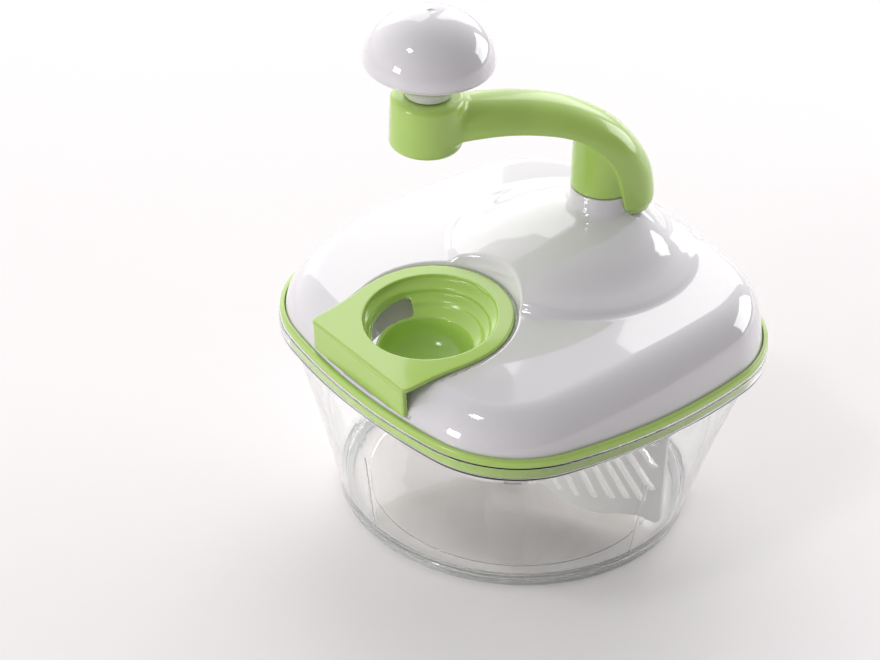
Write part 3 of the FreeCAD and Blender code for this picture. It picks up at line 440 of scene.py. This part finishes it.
# =====================================================================
# Lid cover
# =====================================================================
HX, HZ, HR, TILT = -50.84, 103.1, 33.0, math.radians(6.1)
CT, ST = math.cos(TILT), math.sin(TILT)
DOME = [(26.0, 54.0, 98.0), (26.0, 53.7, 102.0), (26.0, 53.2, 106.0), (26.0, 52.2, 110.2),
        (26.0, 50.2, 112.0), (26.0, 47.2, 113.3), (26.0, 43.4, 114.8), (26.4, 39.9, 116.5),
        (27.4, 36.6, 118.4), (29.0, 33.0, 120.5), (31.1, 28.5, 122.7), (33.0, 24.0, 124.6),
        (35.3, 19.6, 126.2), (37.9, 15.7, 127.6), (39.0, 14.0, 129.2), (39.0, 13.4, 131.8),
        (39.0, 13.4, 136.8)]
_dz = [q[2] for q in DOME]
DZ, DR = smooth_table(_dz, [q[1] for q in DOME])
_, DC = smooth_table(_dz, [q[0] for q in DOME])
DS = np.gradient(DR, DZ)


def hole_frame(x, y, z):
    dx, dz = x - HX, z - HZ
    return CT * dx + ST * dz, y, -ST * dx + CT * dz


def f_dome(x, y, z):
    r = np.interp(z, DZ, DR)
    c = np.interp(z, DZ, DC)
    s = np.interp(z, DZ, DS)
    f = (np.hypot(x - c, y) - r) / np.sqrt(1 + s * s)
    return fmax(f, z - 136.6, 0.5)


def f_lid_body(x, y, z):
    t = (z - 84.0) / 41.0
    side = ((1 - t) * rsq(x, y, 88.5, 244.1, 46.0) + t * rsq(x, y, 79.5, 320.0, 38.0)) * 0.977
    r1 = np.where(x < 35.0, 531.0, 900.0)
    zp = 112.0 - r1 + np.sqrt(np.maximum(r1 * r1 - (x - 35.0) ** 2, 1.0))
    top = (np.hypot(z + 886.0, y) - (zp + 886.0)) / np.sqrt(1 + ((x - 35.0) / r1) ** 2)
    return smin(fmax(side, top, 12.0), f_dome(x, y, z), 2.2)


def f_chute(x, y, z):
    return (np.hypot(x - HX, y) - (22.7 + 0.4071 * (z - 77.8))) * 0.9262


def tongue_plan(a, b, grow=0.0):
    """Distance to the tongue's outline in the hole's plane: it widens to the round flange."""
    half = np.interp(a, [-40.0, -24.0, -8.0], [31.0, 31.6, 34.4]) + grow
    return np.maximum(np.abs(b) - half, a + 4.0)


def f_lid_outer(x, y, z):
    f = f_lid_body(x, y, z)
    a, b, c = hole_frame(x, y, z)
    rho = np.hypot(a, b)
    notch = np.maximum((rho - (35.7 + 0.32 * np.maximum(c, 0))) * 0.95, -c)
    pocket = np.maximum(tongue_plan(a, b, 0.6), -c)
    rec = np.maximum(np.maximum(a + 35.6, np.abs(b) - 31.6), -12.6 - c)
    f = fmax(f, -np.minimum(notch, pocket), 0.8)
    return fmax(f, -rec, 0.5)


SEATS = [(47.0, 34.6), (47.0, -34.6), (7.0, 34.6), (7.0, -34.6)]


def f_lid(x, y, z):
    o = f_lid_outer(x, y, z)
    shell = np.maximum(o, -(o + 2.4))
    lim = o + 1.0
    for sx, sy in SEATS:
        r = np.hypot(x - sx, y - sy)
        post = np.maximum(np.maximum(r - 4.2, 94.5 - z), lim)
        shell = fmin(shell, np.maximum(post, 1.5 - r), 0.8)
    r = np.hypot(x - 39.0, y)
    shell = fmin(shell, np.maximum(np.maximum(r - 12.4, 110.0 - z), lim), 1.0)
    shell = np.maximum(shell, np.maximum(8.0 - r, -40.0))
    r = np.hypot(x, y)
    shell = fmin(shell, np.maximum(np.maximum(r - 7.5, 104.8 - z), lim), 0.8)
    shell = np.maximum(shell, -np.maximum(r - 4.06, z - 110.4))
    ch = f_chute(x, y, z)
    a, b, c = hole_frame(x, y, z)
    tube = fmax(np.maximum(ch - 2.2, 77.8 - z), c, 0.6)
    shell = fmin(shell, tube, 0.8)
    # recess backing and its ledge
    back = np.maximum(np.maximum(np.abs(a + 34.0) - 1.6, np.abs(b) - 33.1), np.maximum(c - 0.0, -13.6 - c))
    shell = np.minimum(shell, np.maximum(back, o))
    ledge = np.maximum(np.maximum(np.abs(a + 37.1) - 2.4, np.abs(b) - 32.1), np.maximum(c + 12.6, -14.4 - c))
    shell = np.minimum(shell, np.maximum(ledge, f_lid_body(x, y, z)))
    shell = fmax(shell, -ch, 0.9)
    slot = np.maximum(np.maximum(np.abs(a - 32.8) - 3.0, np.abs(b) - 6.3), np.abs(c + 3.35) - 1.45)
    shell = np.maximum(shell, -slot)
    return np.maximum(shell, 84.0 - z)


v, q, nn = net(f_lid, (-90.5, -90.5, 76.5), (90.5, 90.5, 138.4), 0.8 * FINE)
lid = mesh_object("lid_cover_moulding", v, q, nn)
finishup(lid, "lid", "white_gloss_plastic", WHITE, "lid_cover")

# =====================================================================
# Crank arm: a hollow channel that grows out of the knob boss and wraps
# round the hub
# =====================================================================
ARM = [(76.0, 171.4, 76.0, 184.0, 12.2), (72.0, 171.4, 72.0, 184.4, 12.3), (64.0, 171.6, 64.0, 185.1, 12.5),
       (57.5, 172.2, 57.2, 185.4, 12.8), (49.5, 172.6, 48.5, 185.1, 13.0),
       (41.0, 172.3, 39.2, 184.3, 13.2), (32.6, 171.3, 29.0, 182.6, 13.4),
       (24.1, 169.6, 18.5, 179.7, 13.6), (17.6, 167.4, 9.8, 175.9, 13.8),
       (11.2, 164.1, 1.2, 171.2, 14.0), (6.3, 159.9, -5.9, 165.9, 14.2),
       (1.8, 155.2, -12.0, 159.3, 14.3), (-1.2, 150.0, -16.6, 152.9, 14.3),
       (-3.3, 144.4, -19.8, 146.3, 14.3), (-4.7, 138.6, -21.5, 139.7, 14.2),
       (-5.8, 133.4, -22.3, 133.6, 13.9), (-7.2, 130.5, -22.1, 130.6, 13.3),
       (-9.4, 129.2, -20.8, 129.2, 12.0)]
_t = np.arange(len(ARM), dtype=float)
AT = smooth_table(_t, [s[0] for s in ARM])[0]
ALX, ALZ, AUX, AUZ, AW = [smooth_table(_t, [s[k] for s in ARM])[1] for k in range(5)]
AB = np.hypot(AUX - ALX, AUZ - ALZ)
ADX, ADZ = (AUX - ALX) / AB, (AUZ - ALZ) / AB
# along (x, z) of the arm's own plane: station, height above the lower edge
RX = np.arange(-32.0, 96.01, 0.5)
RZ = np.arange(124.0, 196.01, 0.5)
gx, gz = np.meshgrid(RX, RZ, indexing="ij")
sub = slice(None, None, 2)
px = gx.ravel()[:, None] - ALX[None, sub]
pz = gz.ravel()[:, None] - ALZ[None, sub]
hgt = px * ADX[None, sub] + pz * ADZ[None, sub]
off = px * ADZ[None, sub] - pz * ADX[None, sub]
cost = np.hypot(off, np.maximum(0, -hgt - 6.0) + np.maximum(0, hgt - AB[None, sub] - 6.0))
best = cost.argmin(1)
rows = np.arange(len(best))
ts = AT[sub][best]
bo = off[rows, best]
n_ = len(AT[sub])
nxt = np.clip(best + 1, 0, n_ - 1)
prv = np.clip(best - 1, 0, n_ - 1)
slope = (off[rows, nxt] - off[rows, prv]) / np.maximum(AT[sub][nxt] - AT[sub][prv], 1e-9)
ts = np.clip(ts - np.where(np.abs(slope) > 1e-6, bo / np.where(np.abs(slope) > 1e-6, slope, 1), 0),
             AT[sub][prv], AT[sub][nxt])
TMAP = ts.reshape(gx.shape)
ENDOFF = np.where((TMAP <= AT[0] + 1e-6) | (TMAP >= AT[-1] - 1e-6), np.abs(bo.reshape(gx.shape)), 0.0)


def raster(M, x, z):
    u = np.clip((x - RX[0]) / 0.5, 0, len(RX) - 1.001)
    w = np.clip((z - RZ[0]) / 0.5, 0, len(RZ) - 1.001)
    i, j = u.astype(int), w.astype(int)
    u, w = u - i, w - j
    return (M[i, j] * (1 - u) * (1 - w) + M[i + 1, j] * u * (1 - w)
            + M[i, j + 1] * (1 - u) * w + M[i + 1, j + 1] * u * w)


def arm_section(x, y, z, wall, low):
    """Half-superellipse section swept along the arm; wall > 0 gives the inner one."""
    t = raster(TMAP, x, z)
    e = raster(ENDOFF, x, z)
    lx, lz = np.interp(t, AT, ALX), np.interp(t, AT, ALZ)
    ux, uz = np.interp(t, AT, ADX), np.interp(t, AT, ADZ)
    B = np.interp(t, AT, AB) - wall
    W = np.interp(t, AT, AW) - wall
    h = (x - lx) * ux + (z - lz) * uz
    n = 2.25
    hh = np.maximum(h, 0)
    a, b = np.abs(y) / W, hh / B
    s = (a ** n + b ** n + 1e-9)
    f = s ** (1 / n) - 1
    # divide by the size of its own slope, so it reads as a distance
    gy = (a ** (n - 1)) / W
    gh = (b ** (n - 1)) / B
    f = f / np.maximum(s ** (1 / n - 1) * np.hypot(gy, gh), 1e-3)
    f = np.clip(f, -14, 40)
    return f, -h - low, e


CA, SA = math.cos(math.radians(156.1)), math.sin(math.radians(156.1))


def arm_local(x, y, z):
    dx, dy = x - 39.0, y
    return CA * dx + SA * dy, -SA * dx + CA * dy, z


def f_arm(x, y, z):
    a, b, c = arm_local(x, y, z)
    so, fl, e = arm_section(a, b, c, 0.0, 0.0)
    si, _, _ = arm_section(a, b, c, 2.3, 0.0)
    si = np.maximum(si, a - 62.0)
    skin = fmax(so, fl, 0.9)
    skin = np.hypot(np.maximum(skin, 0), e) + np.minimum(skin, 0)
    skin = np.where(e > 0.01, np.maximum(skin, e), skin)
    wall = fmax(skin, -si, 0.8)
    # hub, filling the channel from below
    rh = np.hypot(a, b)
    hub = fmax(rh - 13.3, 137.1 - c, 0.7)
    hub = np.maximum(hub, so + 0.8)
    hub_low = fmax(rh - 13.3, 137.1 - c, 0.7)
    t_low = fl + 0.2  # above the lower edge line
    hub_low = np.maximum(hub_low, -t_low - 1.5)
    hub_low = np.maximum(hub_low, c - 171.0)
    arm = fmin(wall, np.minimum(hub, hub_low), 0.8)
    # knob boss
    rb = np.hypot(a - 77.0, b)
    boss = fmax(rb - 15.2, np.abs(c - 177.0) - 11.6, 2.4)
    arm = fmin(arm, boss, 3.2)
    arm = np.maximum(arm, -np.maximum(np.hypot(a, b) - 5.0, c - 158.0))
    arm = np.maximum(arm, 3.0 - rb)
    return np.maximum(arm, -np.maximum(rb - 6.5, c - 168.4))


v, q, nn = net(f_arm, (-50.0, -20.5, 127.4), (64.0, 50.0, 190.2), 0.62 * FINE)
arm = mesh_object("crank_arm_moulding", v, q, nn)
finishup(arm, "crank", "green_gloss_plastic", GREEN, "crank_arm")

# =====================================================================
# Egg separator
# =====================================================================


def f_separator(x, y, z):
    a, b, c = hole_frame(x, y, z)
    rho = np.hypot(a, b)
    top = 2.25
    # plan outline: the round flange and the tongue
    half = np.interp(a, [-40.0, -24.0, -10.0], [31.0, 31.6, 33.4])
    tong = np.maximum(np.abs(b) - half, a + 6.0)
    tong = fmax(tong, -37.9 - a, 3.0)
    plan = smin(rho - 34.6, tong, 2.0)
    flange = fmax(plan, np.abs(c - (top + 0.35) / 2) - (top - 0.35) / 2, 0.8)
    # turned-down edge at the front
    edge = np.maximum(np.maximum(plan, -(plan + 1.9)), np.maximum(c - 1.5, -12.0 - c))
    edge = fmax(edge, a + 35.4, 0.3)
    edge = np.maximum(edge, np.abs(b) - 29.8)
    s = fmin(flange, edge, 0.8)
    # dish: centre and radius change with height, in steps on the +x side
    zt = np.array([-24.0, -20.6, -19.6, -18.2, -16.2, -13.5, -10.6, -9.0, -7.4, -5.2, -4.4, -1.2, -0.4, 3.0])
    rt = np.array([2.0, 9.4, 12.2, 14.6, 16.5, 17.9, 18.8, 19.4, 21.8, 23.4, 24.6, 25.8, 26.9, 27.7])
    kt = np.array([1.0, 1.0, 1.0, 1.0, 1.0, 1.0, 1.0, 0.95, 0.62, 0.5, 0.35, 0.2, 0.0, 0.0])
    Z, R = smooth_table(zt, rt)
    _, K = smooth_table(zt, kt)
    Sl = np.gradient(R, Z)

    def dish(dr, dz):
        r = np.interp(c + dz, Z, R) + dr
        k = np.interp(c + dz, Z, K)
        sl = np.interp(c + dz, Z, Sl)
        return (np.hypot(a + 5.0 * k, b + 3.0 * k) - r) / np.sqrt(1 + sl * sl)
    din = np.maximum(dish(0.0, 0.0), -20.6 - c)
    dout = fmax(dish(1.3, 0.9), -22.1 - c, 2.0)
    dout = np.maximum(dout, c - 1.0)
    s = fmin(s, dout, 0.8)
    s = fmax(s, -din, 0.7)
    # crescent for the white, at the +y side
    ang = np.degrees(np.arctan2(b + 0.0, a + 3.0))
    ang = np.where(ang < -90, ang + 360, ang)
    mid = np.abs(ang - 129.0) - 63.0
    moon = np.maximum(np.maximum(rho - 24.4, 20.6 - np.hypot(a + 5.0, b + 3.0)), -10.2 - c)
    moon = fmax(moon, mid * 0.38, 2.5)
    moon = np.maximum(moon, c - 6.0)
    s = fmax(s, -moon, 0.5)
    tab = rbox(a, b, c, 30.8, 0.0, -3.7, 2.2, 5.2, 0.7, 0.3)
    web = np.maximum(rbox(a, b, c, 29.2, 0.0, -1.4, 1.7, 4.2, 3.0, 0.4), -25.0)
    return fmin(s, np.minimum(tab, web), 0.4)


v, q, nn = net(f_separator, (-90.5, -36.4, 78.0), (-14.8, 36.4, 111.0), 0.5 * FINE)
sep = mesh_object("egg_separator_moulding", v, q, nn)
finishup(sep, "separator", "green_gloss_plastic", GREEN, "egg_separator")

# =====================================================================
# Bowl and rim band, swept round the square outline
# =====================================================================


SPEC = (-1.5, -1.1, -0.85, -0.6, -0.35, -0.12, 0.12, 0.35, 0.6, 0.85, 1.1, 1.5)


def count_safe(half, side, corner):
    """The same number of points at every level, whatever the arcs."""
    k, d = half - side, side - corner
    c = (2 * k + math.sqrt(4 * k * k - 8 * (k * k - d * d))) / 4.0
    a = math.atan2(c, c - k)
    out = []
    for q4 in range(4):
        t = q4 * math.pi / 2
        lim = 2.2 / side
        left = list(np.linspace(-a, -lim, 13))
        right = list(np.linspace(lim, a, 13))
        th = left + [math.asin(s / side) for s in SPEC] + right
        for g in th:
            out.append((k + side * math.cos(g), side * math.sin(g), t, side * math.sin(g)))
        for g in np.linspace(a, math.pi / 2 - a, 24)[1:-1]:
            out.append((c + corner * math.cos(g), c + corner * math.sin(g), t, 99.0))
    P = np.array(out)
    co, si = np.cos(P[:, 2]), np.sin(P[:, 2])
    xy = np.stack([co * P[:, 0] - si * P[:, 1], si * P[:, 0] + co * P[:, 1]], 1)
    return xy, P


def mid_par(f, r0, half1):
    off_ = 90.9 - half1
    s1, c1 = 246.5 - off_, 48.4 - off_
    return (r0 + f * (half1 - r0), 1.0 / ((1 - f) / (r0 + 0.6) + f / s1), (r0 - 1.6) + f * (c1 - r0 + 1.6))


def wall_par(z, inset):
    f = min(1.0, max(0.0, (z - 1.5) / 74.7))
    return mid_par(f, 75.0 - inset, 87.6 - inset)


levels = []  # (half, side, corner, z, rib?)


def add_round(r, z):
    levels.append((r, r + 0.6, max(r - 1.6, 0.2), z, False))


def add_par(p, z, rib=False):
    levels.append((*p, z, rib))


def rim_par(half):
    o = 90.9 - half
    return (half, 246.5 - o, 48.4 - o)


def morph(p, d):
    return (p[0] + d, p[1] + d, p[2] + d)


for r, z in [(61.6, 1.5), (61.9, 1.3), (62.0, 0.7), (62.3, 0.5), (69.4, 0.5), (69.6, 0.6), (69.62, 1.86),
             (73.58, 1.86), (73.6, 0.6), (73.8, 0.5), (74.4, 0.55), (74.8, 0.8), (75.0, 1.2)]:
    add_round(r, z)
for z in [1.6, 3.0, 6.0, 10.0, 15.0, 20.0, 25.0, 30.0, 35.0, 40.0, 44.0, 46.2, 46.8]:
    add_par(wall_par(z, 0.0), z, True)
for z in [47.2, 50.0, 55.0, 60.0, 65.0, 70.0, 73.2]:
    add_par(wall_par(z, 0.0), z)
p75 = wall_par(75.2, 0.0)
for d, z in [(0.05, 74.3), (0.4, 74.95), (1.0, 75.2)]:
    add_par(morph(p75, d), z)
for h_, z in [(88.6, 75.2), (89.5, 75.3), (90.2, 75.6), (90.6, 76.0), (90.82, 76.6), (90.9, 77.4), (90.9, 80.9), (90.75, 81.45),
              (90.35, 81.75), (89.8, 81.8), (89.1, 81.7), (88.8, 81.4), (88.7, 80.9), (88.7, 76.6), (88.5, 76.15), (88.0, 76.0),
              (86.2, 76.0)]:
    add_par(rim_par(h_), z)
p76 = wall_par(76.2, 2.2)
for d, z in [(0.25, 75.85), (0.0, 75.3)]:
    add_par(morph(p76, d), z)
for z in [73.0, 70.0, 65.0, 60.0, 55.0, 50.0, 45.0, 40.0, 35.0, 30.0, 25.0, 20.0, 15.0, 11.0, 8.5, 7.0]:
    add_par(wall_par(z, 2.2), z)
for r, z in [(73.0, 5.7), (72.2, 4.6), (71.0, 3.7), (69.4, 3.15), (67.0, 3.0), (63.5, 3.0), (50.0, 3.0), (35.0, 3.0),
             (20.0, 3.0), (10.0, 3.0), (8.6, 3.2), (7.8, 3.9), (7.5, 5.0), (7.5, 7.4), (7.3, 7.8), (6.9, 8.0),
             (4.5, 8.0), (4.06, 7.6), (4.05, 2.16)]:
    add_round(r, z)
rings = []
for half, side, corner, z, rib in levels:
    if half < 12:
        xy0, P0 = count_safe(30.0, 30.6, 28.4)
        xy = xy0 * (half / 30.0)
        P = P0
    else:
        xy, P = count_safe(half, side, corner)
    if rib:
        out = 76.5 + (z - 0.9) * (83.1 - 76.5) / 46.1 if z < 46.5 else half + 0.15
        w_ = 0.5 + 0.5 * np.cos(np.pi * np.clip(np.abs(P[:, 3]) / 1.1, 0, 1))
        grow_ = min(0.15, max(0.0, out - half))
        n_dir = np.stack([np.cos(P[:, 2]), np.sin(P[:, 2])], 1)
        xy = xy + n_dir * (grow_ * w_)[:, None]
    rings.append(np.column_stack([xy, np.full(len(xy), z)]))
R_ = np.array(rings)                       # level, point, xyz
nl, npt = R_.shape[0], R_.shape[1]
V_ = R_.transpose(1, 0, 2).reshape(-1, 3)
F_ = [list(f) for f in grid_faces(npt, nl)]
F_.append([i * nl for i in range(npt)])
F_.append([i * nl + nl - 1 for i in range(npt)][::-1])
bowl = mesh_object("bowl_clear_moulding", V_, F_)
flip_if_inside_out(bowl)
sharpen(bowl, 40)
finishup(bowl, "bowl", "clear_plastic", CLEAR, "bowl")

prof = ([(88.4, 76.5), (88.4, 81.8)] + [(88.6, 82.05), (88.9, 82.1), (90.2, 82.1)]
        + arc(90.2, 82.5, 0.4, -90, 0, 3) + [(90.6, 84.4)] + arc(89.5, 84.5, 1.1, 5, 90, 6)
        + [(88.9, 85.6)] + arc(88.9, 85.3, 0.3, 100, 180, 3) + [(88.6, 84.3), (88.5, 84.05), (88.3, 84.0), (86.3, 84.0)]
        + arc(86.3, 83.7, 0.3, 90, 180, 3) + [(86.0, 76.5)] + arc(86.3, 76.5, 0.3, 180, 270, 3)
        + [(87.0, 76.2)] + arc(88.1, 76.5, 0.3, 270, 360, 3))
rings = []
for h_, z in prof:
    o_ = 90.9 - h_
    xy, P = count_safe(h_, 246.5 - o_, 48.4 - o_)
    rings.append(np.column_stack([xy, np.full(len(xy), z)]))
R_ = np.array(rings)
nl, npt = R_.shape[0], R_.shape[1]
V_ = R_.transpose(1, 0, 2).reshape(-1, 3)
band = mesh_object("rim_band_moulding", V_, grid_faces(npt, nl, True, True))
flip_if_inside_out(band)
sharpen(band, 50)
finishup(band, "lid", "green_gloss_plastic", GREEN, "rim_band")

# =====================================================================
# Knob
# =====================================================================
KX, KY = 39.0 + 77.0 * CA, 77.0 * SA
cap = [(0.0, 226.35), (0.9, 226.35), (1.5, 226.45), (1.9, 226.75)]
for i in range(1, 31):
    t_ = math.radians(86.0 - 86.0 * i / 30)
    cap.append((27.0 * math.cos(t_), 204.9 + 21.9 * math.sin(t_)))
cap += [(26.9, 204.6), (26.6, 204.5), (24.6, 204.5), (24.3, 204.8)]
for i in range(0, 13):
    t_ = math.radians(6.9 * i)
    cap.append((24.3 * math.cos(t_), 205.0 + 19.2 * math.sin(t_)))
cap += [(0.0, 224.3)]
knob_cap = lathe("knob_cap_moulding", cap, KX, KY, 160)
sharpen(knob_cap, 38)
finishup(knob_cap, "knob", "white_gloss_plastic", WHITE, "knob_cap")
kb = spline([(9.2, 189.0), (9.7, 189.5), (10.0, 190.6), (10.7, 192.2), (12.3, 194.2), (16.0, 197.0),
             (21.2, 200.2), (25.2, 202.6), (26.5, 203.6), (26.75, 204.1), (26.5, 204.42)], 6)
kb += [(24.0, 204.45), (23.2, 203.6), (11.0, 201.4), (7.0, 201.4), (3.07, 201.4), (3.06, 189.0)]
knob_base = lathe("knob_base_moulding", kb, KX, KY, 160)
sharpen(knob_base, 38)
finishup(knob_base, "knob", "white_gloss_plastic", WHITE, "knob_base")

# =====================================================================
# Carried-over pieces
# =====================================================================
for node, m in [("foot_ring", RUBBER), ("pivot_pin", STEEL), ("tool_sleeve", TOOL), ("paddle", TOOL),
                ("crank_gear", GEAR), ("drive_pinion", GEAR), ("hex_drive", STEEL), ("crank_shaft", STEEL),
                ("crank_bush", GEAR), ("gear_washer", STEEL), ("gear_screw", STEEL), ("gear_plate", TOOL),
                ("pinion_bush", GEAR), ("plate_screws", STEEL), ("knob_axle", STEEL), ("knob_keeper", STEEL)]:
    o = N[node]
    if o.data.materials:
        for i in range(len(o.data.materials)):
            o.data.materials[i] = m
    else:
        o.data.materials.append(m)

# =====================================================================
# Stage, light, camera
# =====================================================================
me = bpy.data.meshes.new("floor")
me.from_pydata([(-6, -6, 0), (6, -6, 0), (6, 6, 0), (-6, 6, 0)], [], [(0, 1, 2, 3)])
floor = bpy.data.objects.new("floor", me)
bpy.context.scene.collection.objects.link(floor)
m, nt, b, co = new_mat("floor_pale")
n1 = noise(nt, co, 2.0, 2.0)
c = ramp(nt, n1.outputs["Fac"], 0.3, (0.935, 0.902, 0.905, 1), 0.7, (0.955, 0.922, 0.925, 1))
nt.links.new(c.outputs[0], b.inputs["Base Color"])
b.inputs["Roughness"].default_value = 0.5
me.materials.append(m)


def area(name, loc, target, size, size_y, power, color=(1, 1, 1)):
    l = bpy.data.lights.new(name, "AREA")
    l.shape = "RECTANGLE"
    l.size, l.size_y, l.energy, l.color = size, size_y, power, color
    o = bpy.data.objects.new(name, l)
    o.location = loc
    d = np.array(target, float) - np.array(loc, float)
    from mathutils import Vector
    o.rotation_euler = Vector(d).to_track_quat("-Z", "Y").to_euler()
    bpy.context.scene.collection.objects.link(o)
    return o


# camera looks along +x+y; "behind" the object is +x+y, "left" is -x+y


def panel(name, corners, dist, radiance, color=(1, 1, 1)):
    """A flat-faced studio light panel, given by the directions of its corners from the lid."""
    pts = []
    for az, el in corners:
        a_, e_ = math.radians(az), math.radians(el)
        pts.append((dist * math.cos(e_) * math.cos(a_), dist * math.cos(e_) * math.sin(a_), 0.1 + dist * math.sin(e_)))
    pm = bpy.data.meshes.new(name)
    pm.from_pydata(pts, [], [list(range(len(pts)))])
    po = bpy.data.objects.new(name, pm)
    bpy.context.scene.collection.objects.link(po)
    mm_ = bpy.data.materials.new(name)
    mm_.use_nodes = True
    t_ = mm_.node_tree
    t_.nodes.clear()
    oo = t_.nodes.new("ShaderNodeOutputMaterial")
    ee = t_.nodes.new("ShaderNodeEmission")
    ee.inputs["Color"].default_value = (*color, 1)
    ee.inputs["Strength"].default_value = radiance
    t_.links.new(ee.outputs[0], oo.inputs[0])
    pm.materials.append(mm_)
    po.visible_camera = False
    po.visible_shadow = False
    return po


panel("panel_left", [(72, 55.5), (65.7, 54.2), (61.6, 53.1), (59.2, 52.2), (55.6, 49.1), (54.2, 46.9), (53.4, 42), (53.2, 36), (52.0, 25),
                     (50, 8), (90, 8), (88, 30), (77, 44)], 2.2, 2.6, (1.0, 0.995, 0.99))
panel("panel_right", [(45.8, 46.8), (41, 49.5), (34, 47.3), (30, 42), (20, 30.5), (16, 8), (41, 8), (42, 30), (43.8, 42)],
      2.2, 3.1, (1.0, 0.99, 0.985))
panel("panel_side", [(8, 2), (8, 26), (-28, 26), (-28, 2)], 2.2, 4.4, (0.99, 0.99, 1.0))
area("key_small", (-0.81, 0.13, 1.36), (0, 0, 0.1), 0.2, 0.14, 1.8)
area("soft_low_left", (-1.6, 0.14, 0.50), (0, 0, 0.15), 0.35, 0.3, 5.0, (1.0, 0.99, 0.98))

w = bpy.data.worlds.new("studio")
bpy.context.scene.world = w
w.use_nodes = True
wn = w.node_tree
wn.nodes.clear()
wo = wn.nodes.new("ShaderNodeOutputWorld")
bg = wn.nodes.new("ShaderNodeBackground")
wn.links.new(bg.outputs[0], wo.inputs[0])
# a white studio: bright from the left, some from the back, little from the camera's side
tcw = wn.nodes.new("ShaderNodeTexCoord")


def lobe(direction, strength):
    d1 = wn.nodes.new("ShaderNodeVectorMath")
    d1.operation = "DOT_PRODUCT"
    d1.inputs[1].default_value = direction
    wn.links.new(tcw.outputs["Generated"], d1.inputs[0])
    m1 = wn.nodes.new("ShaderNodeMath")
    m1.operation = "MAXIMUM"
    m1.inputs[1].default_value = 0.0
    wn.links.new(d1.outputs["Value"], m1.inputs[0])
    m2 = wn.nodes.new("ShaderNodeMath")
    m2.operation = "POWER"
    m2.inputs[1].default_value = 2.0
    wn.links.new(m1.outputs[0], m2.inputs[0])
    m3 = wn.nodes.new("ShaderNodeMath")
    m3.operation = "MULTIPLY"
    m3.inputs[1].default_value = strength
    wn.links.new(m2.outputs[0], m3.inputs[0])
    return m3.outputs[0]


def add2(a_, b_):
    m4 = wn.nodes.new("ShaderNodeMath")
    m4.operation = "ADD"
    wn.links.new(a_, m4.inputs[0])
    if isinstance(b_, float):
        m4.inputs[1].default_value = b_
    else:
        wn.links.new(b_, m4.inputs[1])
    return m4.outputs[0]


sky = add2(add2(add2(lobe((-0.78, 0.62, 0.1), 0.9), lobe((0.62, 0.74, 0.25), 1.45)),
                lobe((-0.6, -0.7, 0.35), 0.2)), 0.15)
tint = wn.nodes.new("ShaderNodeMix")
tint.data_type = "RGBA"
tint.blend_type = "MULTIPLY"
tint.inputs["Factor"].default_value = 1.0
wn.links.new(sky, tint.inputs["A"])
tint.inputs["B"].default_value = (0.99, 0.985, 1.0, 1)
wn.links.new(tint.outputs["Result"], bg.inputs["Color"])
bg.inputs["Strength"].default_value = 1.0

cam_d = bpy.data.cameras.new("camera")
cam_d.sensor_width = 36.0
cam_d.lens = 3200.0 / 880.0 * 36.0
cam_d.clip_end = 50.0
cam = bpy.data.objects.new("camera", cam_d)
bpy.context.scene.collection.objects.link(cam)
r_ = np.array([0.78218, -0.62188, 0.03818])
u_ = np.array([0.32997, 0.46545, 0.82126])
d_ = np.array([0.52850, 0.62978, -0.56927])
r_ /= np.linalg.norm(r_)
z_ = -d_ / np.linalg.norm(d_)
u_ = np.cross(z_, r_)
mw = Matrix.Identity(4)
for i in range(3):
    mw[i][0], mw[i][1], mw[i][2] = float(r_[i]), float(u_[i]), float(z_[i])
mw[0][3], mw[1][3], mw[2][3] = -0.739580, -0.827323, 0.844047
cam.matrix_world = mw
bpy.context.scene.camera = cam
bpy.context.scene.view_settings.view_transform = "Standard"
